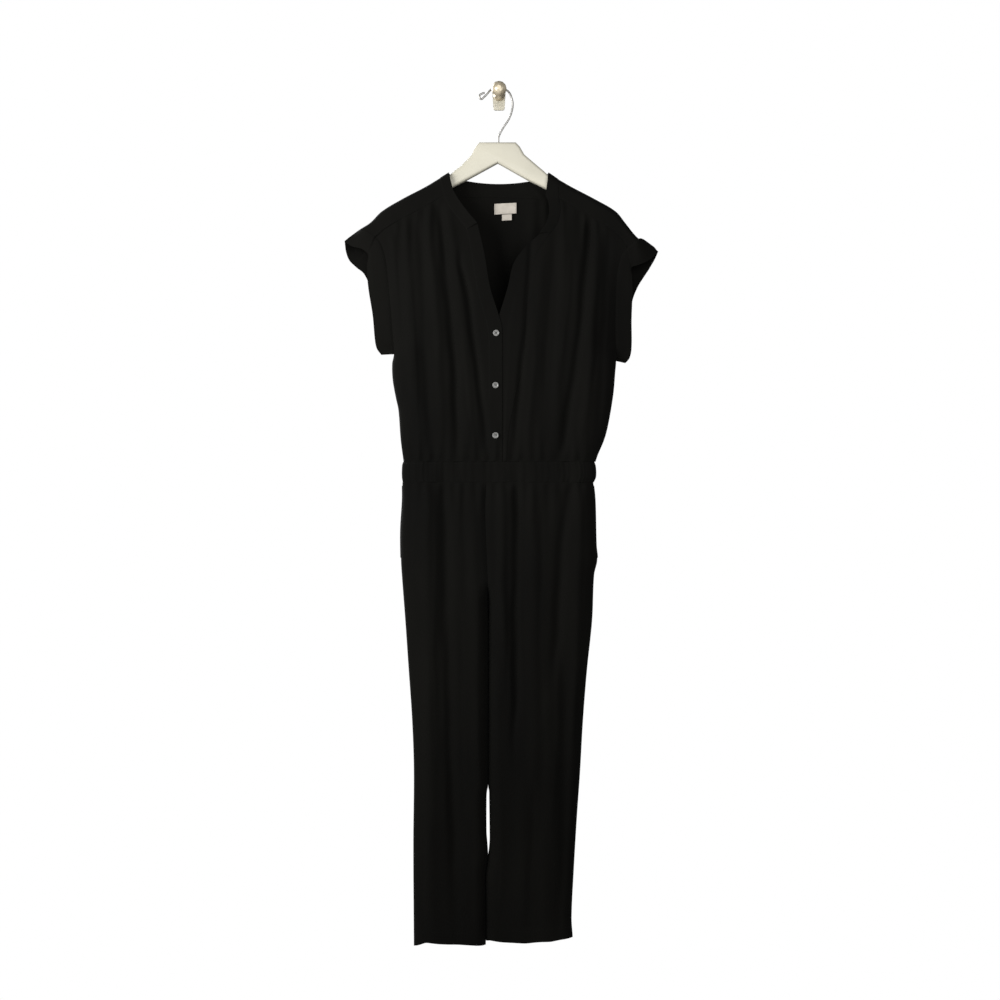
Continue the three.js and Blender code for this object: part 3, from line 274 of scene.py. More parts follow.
# Sizes that the garment's pieces share. Each side's tables are rows of a height and an x, but for
# the hem's, which are x and height, and those of the sleeve's opening, which are a place along
# it, an x, a height and the depth off the hanger's plane.
cut = {
    "hangY": -38.0, "thick": 0.9, "halfGap": 0.05, "ridgeDepth": 16.0, "ridgeDrop": 13.0,
    "yokeDrop": 35.0, "yokeColumns": 8, "waistTop": -654.0, "waistBottom": -690.0,
    "crotchZ": -905.0, "crotchRise": 45.0, "seamDip": 0.3, "legTouch": 0.28,
}
shoulderLine = [
    (-272, -268), (-259, -258), (-242, -247), (-225, -236), (-206, -217), (-170, -195),
    (-128, -173), (-94, -153), (-60, -138), (60, -138), (91, -153), (126, -173), (168, -195),
    (205, -217), (222, -238), (238, -258), (258, -276), (277, -294),
]
left = {
    "sign": -1, "neckX": -96, "neckRidgeX": -103, "cuffX": -215, "cuffRidgeX": -240, "underarmZ": -466,
    "inner": [(-190, -96), (-212, -85), (-233, -69), (-250, -57), (-295, -48), (-355, -38),
              (-400, -26), (-430, -19), (-460, -18), (-654, -18)],
    "outer": [(-262, -215), (-274, -206), (-300, -198), (-340, -193), (-400, -188), (-440, -185),
              (-466, -184), (-483, -187), (-511, -186), (-540, -181), (-564, -176), (-616, -172),
              (-654, -167)],
    "placket": [(-238, -38), (-290, -26), (-352, -15.5), (-397, -1.5), (-420, 4.5), (-440, 5.2),
                (-654, 5.2)],
    "casing": [(-654, -167.5), (-660, -169.5), (-680, -170), (-690, -168.5)],
    "legOuter": [(-690, -169), (-721, -169), (-774, -172), (-826, -171.5), (-852, -170),
                 (-931, -164), (-1018, -158), (-1106, -152), (-1194, -149), (-1325, -150),
                 (-1496, -149)],
    "legInner": [(-690, -22.5), (-740, -24.5), (-850, -20.5), (-905, -19.4), (-1150, -19.4),
                 (-1216, -19.4), (-1224, -19.8), (-1230, -21.2), (-1240, -22), (-1302, -22),
                 (-1316, -20.9), (-1330, -19.9), (-1344, -19.4), (-1354, -21), (-1372, -23.8),
                 (-1400, -23.8), (-1500, -23.3)],
    "hem": [(-149, -1499.5), (-141.8, -1497.3), (-134.8, -1494.3), (-127, -1491.4), (-118, -1491.6),
            (-100, -1493.4), (-64, -1494.6), (-36, -1496.2), (-23, -1497.5)],
    "hemStart": -1499.5,
    "openFront": [(0, -206, -467, 0.15), (0.06, -213, -457, 3.4), (0.12, -216, -443, 6),
                  (0.35, -220, -400, 10), (0.6, -228, -348, 12), (0.76, -230, -312, 13),
                  (0.83, -228, -294, 13), (0.9, -240, -283, 12), (0.96, -258, -278, 8),
                  (1, -270, -268, 0)],
    "openBack": [(0, -206, -467, 0.15), (0.06, -212.5, -457, 3.4), (0.12, -215, -443, 6),
                 (0.35, -218, -400, 9), (0.58, -226, -350, 10), (0.72, -237, -324, 11),
                 (0.82, -251, -312, 12), (0.9, -263, -300, 11), (0.96, -268.5, -285, 8),
                 (1, -270, -268, 0)],
}
right = {
    "sign": 1, "neckX": 104, "neckRidgeX": 103, "cuffX": 224, "cuffRidgeX": 244, "underarmZ": -478,
    "inner": [(-195, 104), (-215, 107), (-238, 102), (-258, 88), (-292, 66), (-322, 57), (-383, 49),
              (-488, 42), (-534, 31), (-604, 17), (-654, 13)],
    "outer": [(-281, 224), (-292, 215), (-320, 207), (-360, 204), (-420, 203), (-460, 204),
              (-478, 205), (-497, 203.5), (-537, 200), (-590, 191), (-616, 184), (-642, 173),
              (-654, 169)],
    "placket": [(-259, 70), (-282, 45), (-310, 25.5), (-352, 15), (-401, 0), (-430, -8),
                (-460, -12), (-654, -12)],
    "casing": [(-654, 167), (-662, 169.5), (-680, 170), (-690, 166)],
    "legOuter": [(-690, 165), (-721, 168), (-800, 170), (-826, 172), (-852, 166.5), (-931, 163),
                 (-1018, 154), (-1106, 147), (-1194, 142), (-1281, 136), (-1368, 131),
                 (-1456, 127), (-1490, 129)],
    "legInner": [(-690, -22.2), (-740, -24.2), (-850, -20.2), (-905, -18.9), (-1150, -18.9),
                 (-1216, -18.9), (-1224, -18.3), (-1230, -17.1), (-1240, -16.9), (-1300, -16.2),
                 (-1316, -16.2), (-1332, -17.4), (-1342, -18.8), (-1354, -20.5), (-1372, -23.3),
                 (-1400, -23.3), (-1491, -22.8)],
    "hem": [(-23, -1490.5), (-15, -1487.8), (5, -1489.9), (26, -1491), (47, -1491.8),
            (61, -1490.5), (75, -1489.4), (90, -1489), (104, -1486.9), (117, -1485.4),
            (129, -1484.4)],
    "hemStart": -1490.5,
    "openFront": [(0, 221, -481.5, 0.15), (0.05, 228, -473, 2.8), (0.12, 231, -455, 6),
                  (0.35, 231, -408, 10), (0.6, 232.5, -360, 12), (0.78, 231.5, -330, 13),
                  (0.85, 231, -316, 13), (0.91, 244, -311, 12), (0.96, 262, -303, 8),
                  (1, 277, -288, 0)],
    "openBack": [(0, 221, -481.5, 0.15), (0.05, 227.5, -473, 2.8), (0.12, 230, -455, 6),
                 (0.35, 230, -408, 9), (0.54, 234, -372, 10), (0.68, 243, -348, 11),
                 (0.8, 254, -330, 12), (0.89, 264, -315, 11), (0.96, 272, -300, 8),
                 (1, 277, -288, 0)],
}
fullness = [  # height, how far the front and the back stand off the hanger's plane
    (-190, 16, 16), (-300, 24, 21), (-400, 28, 23), (-520, 28, 23), (-620, 26, 21), (-654, 22, 18),
    (-690, 22, 18), (-740, 26, 21), (-830, 28, 23), (-905, 26, 22), (-1000, 23, 20),
    (-1250, 21, 18), (-1500, 20, 18),
]
sleeveOpen = [  # height below the cuff's top, how far the front and the back stand apart there
    (0, 15), (40, 14), (90, 12), (140, 10), (175, 7), (194, 3.5), (204, 0),
]

# Folds: top x and z, middle x, low x and z, width and height, which is below nought for a trough
bodiceFront = [
    (-185, -262, -180, -176, -430, 16, 2), (-164, -240, -155, -148, -560, 22, 3.5),
    (-138, -240, -128, -120, -640, 18, -2.5), (-124, -225, -107, -98, -640, 20, 3),
    (-105, -208, -82, -70, -655, 17, -7), (-88, -230, -60, -50, -640, 20, 2.5),
    (-68, -310, -38, -22, -655, 13, -5.5), (58, -270, 42, 26, -655, 13, -4),
    (76, -300, 62, 48, -640, 22, 2.5), (97, -255, 88, 76, -560, 18, -2),
    (118, -220, 108, 94, -640, 24, 3), (158, -235, 138, 106, -660, 17, -7),
    (173, -255, 160, 142, -640, 22, 3.5), (188, -270, 182, 170, -620, 18, -2),
]
bodiceBack = [
    (-150, -240, -140, -128, -640, 30, -4), (-112, -215, -100, -88, -650, 28, 3.5),
    (-62, -230, -58, -46, -650, 30, -3.5), (-6, -240, 0, 8, -650, 34, 3),
    (58, -230, 54, 48, -650, 28, -4), (118, -220, 104, 92, -650, 30, 3.5),
    (160, -250, 148, 132, -640, 28, -4),
]
trouserFront = [
    (-124, -690, -121, -116, -1480, 28, 4.5), (-97, -690, -86, -73, -1480, 24, -6.5),
    (-62, -690, -60, -58, -900, 18, -1.5), (-42, -760, -38, -33, -1440, 24, 2.5),
    (6, -690, 6, 8, -1010, 20, 4), (31, -700, 29, 27, -1150, 15, -7),
    (58, -690, 60, 62, -1260, 30, 4), (122, -690, 106, 97, -1030, 22, -6),
    (142, -690, 138, 126, -1180, 26, 3.5), (114, -1010, 113, 104, -1490, 26, -5),
    (44, -1100, 42, 38, -1490, 30, 2.5), (86, -1050, 84, 76, -1490, 24, 2),
]
trouserBack = [
    (-128, -690, -126, -120, -1250, 34, -4), (-84, -690, -84, -88, -1480, 36, 4),
    (-48, -690, -48, -52, -1100, 28, -3), (24, -690, 26, 30, -1100, 28, -3),
    (66, -690, 66, 62, -1480, 36, 4), (122, -690, 118, 104, -1250, 34, -4),
]
# Soft creases that the cloth keeps between its main folds
bodiceFront += [
    (-176, -300, -172, -168, -470, 10, -0.78), (-152, -330, -146, -138, -600, 9, 0.72),
    (-100, -300, -84, -70, -520, 9, 0.85), (-70, -420, -58, -48, -640, 9, -0.91),
    (-44, -480, -38, -34, -640, 8, 0.65), (62, -430, 58, 50, -600, 9, 0.72),
    (100, -330, 96, 86, -560, 10, -0.78), (124, -300, 118, 108, -480, 9, 0.78),
    (146, -400, 132, 116, -600, 9, 0.91), (176, -330, 170, 160, -540, 10, -0.85),
    (192, -350, 190, 186, -470, 8, 0.65),
]
bodiceBack += [
    (-170, -300, -164, -156, -560, 14, 1.4), (-132, -360, -122, -110, -600, 12, 1.2),
    (-84, -300, -78, -70, -560, 12, -1.2), (-30, -260, -26, -22, -520, 14, -1.2),
    (28, -330, 30, 30, -620, 12, 1.3), (86, -300, 82, 74, -600, 12, -1.3),
    (138, -330, 128, 116, -600, 12, 1.3), (182, -320, 178, 168, -560, 14, 1.2),
]
trouserFront += [
    (-156, -700, -158, -152, -960, 14, -0.91), (-110, -760, -112, -108, -1180, 10, 0.78),
    (-92, -900, -94, -90, -1300, 10, 0.78), (-66, -960, -64, -62, -1400, 14, -1.04),
    (-128, -1120, -126, -122, -1460, 14, 0.98), (-36, -1180, -36, -34, -1460, 12, -0.78),
    (16, -760, 15, 16, -1080, 7, -0.78), (44, -720, 42, 44, -1020, 10, -1.04),
    (72, -760, 72, 72, -1120, 10, -0.78), (104, -980, 100, 92, -1300, 12, 0.91),
    (148, -740, 148, 140, -1000, 14, -1.04), (60, -1230, 56, 52, -1470, 14, -0.98),
    (4, -1200, 4, 2, -1450, 12, 0.78), (150, -860, 142, 132, -1120, 10, 0.72),
]
trouserBack += [
    (-148, -720, -148, -140, -1100, 18, 1.6), (-106, -740, -106, -104, -1300, 14, -1.4),
    (-66, -900, -66, -68, -1400, 14, -1.3), (-34, -720, -34, -34, -1000, 14, 1.4),
    (8, -720, 8, 8, -1000, 14, 1.4), (46, -900, 46, 44, -1400, 14, 1.4),
    (92, -740, 92, 86, -1300, 14, -1.4), (146, -720, 142, 132, -1150, 18, 1.6),
]


def gathersAlong(start, end, pitch, seamAt, longs, wide, deep, seed):
    # short uneven gathers that start at a seam, as rows of the same form as the folds
    rng = np.random.default_rng(seed)
    rows = []
    x = start
    flip = 1
    while x < end:
        run = rng.uniform(*longs)
        top = float(seamAt(x))
        lean = rng.uniform(-0.03, 0.03) * abs(run)
        size = flip * deep * rng.uniform(0.6, 1.3)
        rows.append((x, top, x + lean / 2, x + lean, top - run, wide * rng.uniform(0.8, 1.3), size))
        x += pitch * rng.uniform(0.8, 1.25)
        flip = -flip
    return rows


ridgeZ = curveThrough(shoulderLine)
frontFull = curveThrough([(z, front) for z, front, back in fullness])
backFull = curveThrough([(z, back) for z, front, back in fullness])
openAt = curveThrough(sleeveOpen)
for side in (left, right):
    for table in ("inner", "outer", "placket", "casing", "legOuter", "legInner", "hem"):
        side[table + "At"] = curveThrough(side[table])
    side["cuffTopZ"] = side["outer"][0][0]
    side["neckZ"] = side["inner"][0][0]


def yokeSeamZ(x):
    x = np.asarray(x, dtype=float)
    result = np.zeros_like(x)
    columns = cut["yokeColumns"]
    for side, here in ((left, x < 0), (right, x >= 0)):
        stops = np.arange(columns + 1) / columns
        places = mix(side["neckX"], side["cuffX"], stops)
        level = ridgeZ(places) - cut["yokeDrop"]
        ends = mix(side["neckZ"] - level[0], side["cuffTopZ"] - level[-1], stops)
        t = (x - side["neckX"]) / (side["cuffX"] - side["neckX"])
        result = np.where(here, np.interp(t, stops, level + ends), result)
        slope = (level[1] + ends[1] - level[0] - ends[0]) * columns
        result = np.where(here & (t < 0), level[0] + ends[0] + slope * t, result)
    return result


waver = {  # swing to the side, pitch down the fold and shift from fold to fold
    "slow": (1.3, 41.0, 1.7), "quick": (0.6, 17.0, 2.9), "height": (0.18, 63.0, 2.3),
}
bell = {"steep": 1.4, "foldIn": 0.12, "foldOut": 1.12, "seamIn": 0.02}


def swing(which, z, i):
    size, pitch, shift = waver[which]
    return size * np.sin(z / pitch + shift * i)


def bellAcross(x, middle, wide):
    away = (x - middle) / (wide / 2)
    return np.exp(-bell["steep"] * away * away)


def foldHeight(folds, x, z):
    height = np.zeros_like(x)
    for i, (topX, topZ, midX, lowX, lowZ, wide, deep) in enumerate(folds):
        run = topZ - lowZ
        t = (topZ - z) / run
        s = clamp01(t)
        bow = midX - (topX + lowX) / 2
        sideways = swing("slow", z, i) + swing("quick", z, i)
        middle = mix(topX, lowX, s) + bow * 4 * s * (1 - s) + sideways * min(run / 200, 1)
        fade = ease((t + bell["foldIn"]) / 0.2) * ease((bell["foldOut"] - t) / 0.35)
        height += deep * (1 + swing("height", z, i)) * fade * bellAcross(x, middle, wide)
    return height


def seamHeight(gathers, x, z):
    # gathers stand fullest at their seam and die away from it
    height = np.zeros_like(x)
    for topX, topZ, midX, lowX, lowZ, wide, deep in gathers:
        t = (topZ - z) / (topZ - lowZ)
        middle = mix(topX, lowX, clamp01(t))
        height += deep * ease((t + bell["seamIn"]) / 0.08) * (1 - ease(t)) * bellAcross(x, middle, wide)
    return height


def flatSeam(z):
    return lambda x: z


atTop, atBottom = flatSeam(cut["waistTop"]), flatSeam(cut["waistBottom"])
yokeGathers = {  # short gathers under the front and back seams of the yokes
    "front": gathersAlong(-178, -98, 9.5, yokeSeamZ, (50, 170), 10, 1.1, 3)
    + gathersAlong(110, 196, 9.5, yokeSeamZ, (50, 170), 10, 1.1, 5),
    "back": gathersAlong(-180, -70, 10, flatSeam(-188), (60, 150), 11, 1.3, 7)
    + gathersAlong(70, 190, 10, flatSeam(-190), (60, 150), 11, 1.3, 9),
}
waistGathers = {  # above the casing they run up from it, below it they run down
    "frontUp": gathersAlong(-158, 160, 9.5, atTop, (-95, -40), 10, 1.1, 11),
    "backUp": gathersAlong(-158, 160, 9.5, atTop, (-95, -40), 10, 1.3, 13),
    "frontDown": gathersAlong(-160, 158, 9, atBottom, (45, 140), 10, 1.1, 17),
    "backDown": gathersAlong(-160, 158, 9, atBottom, (45, 140), 10, 1.3, 19),
}
form = {  # reach in millimetres of each change of the depth, and its size
    "yokeFade": 120, "closeOver": 25, "softOver": 30, "bodyRound": 44, "sleeveRound": 60,
    "foldsFrom": 24, "foldsUnderYoke": 30, "waistFade": 26, "waistShare": 0.45, "puff": 1.0,
    "puffUp": 12, "puffReach": 9, "legRoundIn": 20, "legRoundOut": 40, "legFoldsIn": 18,
    "legWaistFade": 22, "legWaistShare": 0.3, "seamDeep": 2.2, "seamReach": 4,
}


def bodiceDepth(x, z, face, plain=False):
    front = face < 0
    full = frontFull(z) if front else backFull(z)
    below = yokeSeamZ(x) - z
    body = mix(cut["ridgeDepth"], full, ease(below / form["yokeFade"]))
    onLeft = x < 0
    outer = np.where(onLeft, left["outerAt"](z), right["outerAt"](z))
    cuffTop = np.where(onLeft, left["cuffTopZ"], right["cuffTopZ"])
    underarm = np.where(onLeft, left["underarmZ"], right["underarmZ"])
    away = np.abs(outer - x)
    closed = ease((underarm + form["closeOver"] - z) / form["closeOver"])
    rim = mix(openAt(cuffTop - z), cut["halfGap"], closed)
    soft = ease((z - underarm) / form["softOver"])
    atSleeve = 1 - (1 - clamp01(away / form["sleeveRound"])) ** 2
    around = mix(rounded(away / form["bodyRound"]), atSleeve, soft)
    folds = bodiceFront if front else bodiceBack
    fromEdge = ease(away / form["foldsFrom"])
    height = foldHeight(folds, x, z) * fromEdge * ease((below + 4) / form["foldsUnderYoke"])
    nearWaist = ease((z - cut["waistTop"]) / form["waistFade"])
    depth = mix(rim, body, around) + height * mix(form["waistShare"], 1, nearWaist)
    if plain:
        return depth
    yokes = yokeGathers["front" if front else "back"]
    waist = waistGathers["frontUp" if front else "backUp"]
    small = seamHeight(yokes, x, z) * ease((below + 1) / 5) + seamHeight(waist, x, z)
    upFromWaist = (z - cut["waistTop"] - form["puffUp"]) / form["puffReach"]
    puff = form["puff"] * np.exp(-upFromWaist ** 2)
    return depth + (small + puff) * fromEdge


def legDepth(x, z, face, xIn, xOut):
    front = face < 0
    full = frontFull(z) if front else backFull(z)
    awayOut = np.abs(xOut - x)
    awayIn = np.abs(x - xIn)
    turned = ease((cut["crotchZ"] + cut["crotchRise"] - z) / cut["crotchRise"])
    roundIn = mix(1, rounded(awayIn / form["legRoundIn"]), turned)
    roundOut = rounded(awayOut / form["legRoundOut"])
    folds = trouserFront if front else trouserBack
    calm = ease(awayOut / form["foldsFrom"]) * mix(1, ease(awayIn / form["legFoldsIn"]), turned)
    nearWaist = ease((cut["waistBottom"] - z) / form["legWaistFade"])
    small = seamHeight(waistGathers["frontDown" if front else "backDown"], x, z)
    height = foldHeight(folds, x, z) * mix(form["legWaistShare"], 1, nearWaist) + small
    dip = np.exp(-((awayIn / form["seamReach"]) ** 2))
    seam = form["seamDeep"] * dip * (1 - turned) * nearWaist
    inner = mix(cut["halfGap"], full, roundIn)
    return mix(cut["halfGap"], inner, roundOut) + height * calm - seam


# Cloth meshes
def unit(vectors):
    return vectors / np.maximum(np.linalg.norm(vectors, axis=-1, keepdims=True), 1e-9)


def gridNormals(points, toward):
    out = unit(np.cross(np.gradient(points, axis=0), np.gradient(points, axis=1)))
    facing = np.sum(out * toward, axis=-1, keepdims=True)
    return np.where(facing < 0, -out, out)


sharpFrom = {"cloth": 62, "hard": 40}  # degrees past which an edge stays sharp


def finished(mesh, material, angle):
    mesh.materials.clear()
    mesh.materials.append(material)
    mesh.shade_smooth()
    mesh.set_sharp_from_angle(angle=math.radians(angle))


def clothShell(name, points, normals, thick, material=cloth):
    rows, columns = points.shape[:2]
    outer = points.reshape(-1, 3)
    inner = (points - normals * thick).reshape(-1, 3)
    number = np.arange(rows * columns).reshape(rows, columns)
    size = rows * columns

    def quads(a, b, c, d):
        return np.stack([a, b, c, d], axis=-1).reshape(-1, 4)

    skin = quads(number[:-1, :-1], number[1:, :-1], number[1:, 1:], number[:-1, 1:])
    faces = [skin, skin[:, ::-1] + size]
    for loop in (number[0, ::-1], number[-1, :], number[:, 0], number[::-1, -1]):
        a, b = loop[:-1], loop[1:]
        faces.append(quads(a + size, b + size, b, a))
    faces = np.concatenate(faces)
    r, c = rows // 2, columns // 2
    turn = np.cross(points[r + 1, c] - points[r, c], points[r, c + 1] - points[r, c])
    if np.dot(turn, normals[r, c]) < 0:
        faces = faces[:, ::-1]
    mesh = bpy.data.meshes.new(name)
    mesh.from_pydata((np.concatenate([outer, inner]) * mm).tolist(), [], faces.tolist())
    finished(mesh, material, sharpFrom["cloth"])
    return placed(name, mesh)


def levelEdge(normals, rows, column):
    # turns the normals along a side edge into the hanger's plane, so that the walls meet there
    edge = normals[rows, column].copy()
    edge[:, 1] = 0
    normals[rows, column] = unit(edge)


dense = {"both": 0.75, "end": 0.85, "power": 1.6}


def edgeDense(count, bothEnds=False):
    # places from 0 to 1, closer together towards the far end or towards both
    u = np.linspace(0, 1, count + 1)
    if bothEnds:
        return mix(u, (1 - np.cos(np.pi * u)) / 2, dense["both"])
    return mix(u, 1 - (1 - u) ** dense["power"], dense["end"])


def standsFor(piece, node):
    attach(piece, "root")
    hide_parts(node)


def sewnOn(piece, node):
    standsFor(piece, node)


outFront = np.array([0.0, -1.0, 0.0])
outBack = np.array([0.0, 1.0, 0.0])
seamPaths = []  # lines of stitching, in millimetres, on the cloth's outer side
handPaths = []  # the buttons' threads and the worked edges of the buttonholes


def stitchLine(points, normals, lift=-0.05):
    seamPaths.append(points + normals * lift)


# Bodice panels
panel = {"sleeveRows": 96, "bodyRows": 92, "columns": 92, "dipReach": 3.5}
sleeveRow = panel["sleeveRows"]
cornerRow = sleeveRow // 4  # where the collar ends and the placket starts
belowSleeve = slice(sleeveRow + 1, None)
everyRow = slice(None)


def rowShares(side):
    split = (side["cuffTopZ"] - side["underarmZ"]) / (side["cuffTopZ"] - cut["waistTop"])
    top = np.linspace(0, split, panel["sleeveRows"] + 1)
    return np.concatenate([top, np.linspace(split, 1, panel["bodyRows"] + 1)[1:]])


def frontPanel(side):
    t = rowShares(side)[:, None]
    s = edgeDense(panel["columns"])[None, :]
    low = cut["waistTop"] + cut["halfGap"]
    inZ = mix(side["neckZ"], low, t)
    outZ = mix(side["cuffTopZ"], low, t)
    x = mix(side["innerAt"](inZ), side["outerAt"](outZ), s)
    sag = yokeSeamZ(mix(side["neckX"], side["cuffX"], s)) - mix(side["neckZ"], side["cuffTopZ"], s)
    z = mix(inZ, outZ, s) + sag * (1 - t) ** 2
    depth = bodiceDepth(x, z, -1)
    dip = (1 - ease((yokeSeamZ(x) - z) / panel["dipReach"])) * ease(s * 40)
    depth = depth - cut["seamDip"] * dip
    points = np.stack([x, cut["hangY"] - depth, z], axis=-1)
    normals = gridNormals(points, outFront)
    levelEdge(normals, belowSleeve, -1)
    return points, normals


panels = {"left": frontPanel(left), "right": frontPanel(right)}
for name, side in (("left", left), ("right", right)):
    points, normals = panels[name]
    piece = clothShell("front_" + name + "_cloth", points, normals, cut["thick"])
    sewnOn(piece, "front_" + name)

backCut = {"yokeColumns": 56, "neckColumns": 48, "neckDip": 3.0}


def backPanel():
    columns = 2 * backCut["yokeColumns"] + backCut["neckColumns"]
    yoke = np.linspace(0, 1, backCut["yokeColumns"] + 1)
    yoke = mix(yoke, yoke ** 1.5, 0.7)
    neck = np.linspace(0, 1, backCut["neckColumns"] + 1)[1:-1]
    topX = np.concatenate([
        mix(left["cuffX"], left["neckX"], yoke),
        mix(left["neckX"], right["neckX"], neck),
        mix(right["cuffX"], right["neckX"], yoke)[::-1],
    ])
    hump = clamp01((topX - left["neckX"]) / (right["neckX"] - left["neckX"]))
    ends = yokeSeamZ(np.array([left["neckX"], right["neckX"]]))
    acrossNeck = mix(ends[0], ends[1], hump) + backCut["neckDip"] * 4 * hump * (1 - hump)
    onNeck = (topX > left["neckX"]) & (topX < right["neckX"])
    topZ = np.where(onNeck, acrossNeck, yokeSeamZ(topX))[None, :]
    tLeft, tRight = rowShares(left)[:, None], rowShares(right)[:, None]
    low = cut["waistTop"] + cut["halfGap"]
    zLeft, zRight = mix(left["cuffTopZ"], low, tLeft), mix(right["cuffTopZ"], low, tRight)
    atTop = ((topX - left["cuffX"]) / (right["cuffX"] - left["cuffX"]))[None, :]
    even = ((1 - np.cos(np.pi * np.arange(columns + 1) / columns)) / 2)[None, :]
    s = mix(atTop, mix(atTop, even, 0.6), ease(tLeft * 1.5))
    x = mix(left["outerAt"](zLeft), right["outerAt"](zRight), s)
    sag = topZ - mix(left["cuffTopZ"], right["cuffTopZ"], atTop)
    z = mix(zLeft, zRight, s) + sag * (1 - mix(tLeft, tRight, s))
    depth = bodiceDepth(x, z, 1)
    dip = (1 - ease((topZ - z) / panel["dipReach"])) * np.where(onNeck, 0.0, 1.0)[None, :]
    points = np.stack([x, cut["hangY"] + depth - cut["seamDip"] * dip, z], axis=-1)
    normals = gridNormals(points, outBack)
    for column in (0, -1):
        levelEdge(normals, belowSleeve, column)
    return points, normals


backPoints, backNormals = backPanel()
piece = clothShell("back_cloth", backPoints, backNormals, cut["thick"])
sewnOn(piece, "back")
print("bodice made")

# Yokes, each a saddle over the hanger
yokeCut = {"flatRows": 14, "wrapRows": 12, "columns": 64, "proud": 0.15, "thick": 0.9,
           "soft": 0.5, "pitchX": 13.0, "pitchZ": 9.0, "slant": 31.0}


def yokeStations():
    flat = np.linspace(1, cut["ridgeDrop"] / cut["yokeDrop"], yokeCut["flatRows"] + 1)[:-1]
    turn = np.radians(np.linspace(90, 0, yokeCut["wrapRows"] + 1))
    share = np.concatenate([flat, cut["ridgeDrop"] * (1 - np.cos(turn)) / cut["yokeDrop"]])
    deep = np.concatenate([np.ones_like(flat), np.sin(turn)])
    return np.concatenate([share, share[-2::-1]]), np.concatenate([-deep, deep[-2::-1]])


stationShare, stationDeep = yokeStations()


def yokePanel(side):
    t = np.linspace(0, 1, yokeCut["columns"] + 1)[None, :]
    share, deep = stationShare[:, None], stationDeep[:, None]
    ridgeX = mix(side["neckRidgeX"], side["cuffRidgeX"], t)
    seamX = mix(side["neckX"], side["cuffX"], t)
    x = mix(ridgeX, seamX, share)
    z = mix(ridgeZ(ridgeX), yokeSeamZ(seamX), share)
    downward = np.sin(z / yokeCut["pitchZ"] + x / yokeCut["slant"])
    soft = yokeCut["soft"] * np.sin(x / yokeCut["pitchX"]) * downward
    y = cut["hangY"] + deep * (cut["ridgeDepth"] + yokeCut["proud"] + soft * np.abs(deep) ** 3)
    points = np.stack([x + 0 * share, y + 0 * x, z], axis=-1)
    toward = np.stack([0 * x, y - cut["hangY"], 0 * x + cut["ridgeDrop"]], axis=-1)
    return points, gridNormals(points, toward)


yokes = {"left": yokePanel(left), "right": yokePanel(right)}
for name in ("left", "right"):
    points, normals = yokes[name]
    piece = clothShell("yoke_" + name + "_cloth", points, normals, yokeCut["thick"])
    sewnOn(piece, "yoke_" + name)
    for row in (2, -3):
        stitchLine(points[row], normals[row])

# Turned-up cuffs, from the underarm up the front, over the shoulder and down the back
cuffCut = {"rows": 18, "gap": 0.04, "armGap": 0.02, "armRows": 24, "proud": 1.3, "step": 4.0,
           "stepRows": 14.0, "thick": 1.8, "endRows": 16, "wave": 0.35, "wavePitch": 23.0}


def cuffBand(side, front, yoke, back, backColumn):
    lastYoke = len(stationShare) - 1
    stops = [piece[:sleeveRow + 1, -1][::-1] for piece in front]
    over = [piece[1:lastYoke, -1] for piece in yoke]
    behind = [piece[:sleeveRow + 1, backColumn] for piece in back]
    seam, way = [np.concatenate([stops[i], over[i], behind[i]]) for i in (0, 1)]
    run = np.concatenate([[0], np.cumsum(np.linalg.norm(np.diff(seam, axis=0), axis=1))])
    ridge = sleeveRow + lastYoke // 2
    isFront = np.arange(len(run)) <= ridge
    v = np.where(isFront, run / run[ridge], (run[-1] - run) / (run[-1] - run[ridge]))
    edge = np.zeros_like(seam)
    for rows, mask, sign in ((side["openFront"], isFront, -1), (side["openBack"], ~isFront, 1)):
        x, z, depth = [curveThrough([(row[0], row[i]) for row in rows])(v) for i in (1, 2, 3)]
        there = np.stack([x, cut["hangY"] + sign * depth, z], axis=-1)
        edge[mask] = there[mask]
    across = unit(edge - seam)
    fromEnd = np.minimum(np.arange(len(run)), len(run) - 1 - np.arange(len(run)))
    gap = np.where(fromEnd < cuffCut["armRows"], cuffCut["armGap"], cuffCut["gap"])
    start = seam + across * gap[:, None]
    u = np.linspace(0, 1, cuffCut["rows"] + 1)[:, None, None]
    ends = ease(fromEnd / cuffCut["endRows"])[None, :, None]
    wave = 1 + cuffCut["wave"] * np.sin(run / cuffCut["wavePitch"])[None, :, None]
    tall = cuffCut["proud"] * wave
    if side["sign"] > 0:  # this cuff stands up off the shoulder
        fromRidge = (np.arange(len(run)) - ridge) / cuffCut["stepRows"]
        tall = tall + cuffCut["step"] * np.exp(-fromRidge ** 2)[None, :, None]
    swell = ends * tall * rounded(u / 0.25) * (1 - 0.5 * ease((u - 0.7) / 0.3))
    points = mix(start[None], edge[None], u) + way[None] * swell
    normals = gridNormals(points, way[None])
    for column in (0, -1):
        levelEdge(normals, everyRow, column)
    return points, normals


for name, side, column in (("left", left, 0), ("right", right, -1)):
    points, normals = cuffBand(side, panels[name], yokes[name], (backPoints, backNormals), column)
    piece = clothShell("cuff_" + name + "_cloth", points, normals, cuffCut["thick"])
    sewnOn(piece, "cuff_" + name)
    stitchLine(points[2], normals[2])
print("yokes and cuffs made")

# Band collar round the neck
collarCut = {"rows": 20, "gap": -0.5, "thick": 1.5, "proud": 0.6, "backDip": -7.0,
             "backSwell": 2.0, "bowLeft": -3.0, "bowRight": 11.0}
collarEdge = {
    "left": {"corner": (-38, -22, -239), "front": (-80, -16, -181), "ridge": (-88, 0, -148.5),
             "back": (-66, 16, -158)},
    "right": {"corner": (71, -22, -256), "front": (81, -16, -190), "ridge": (86.5, 0, -148.5),
              "back": (66, 16, -158)},
}


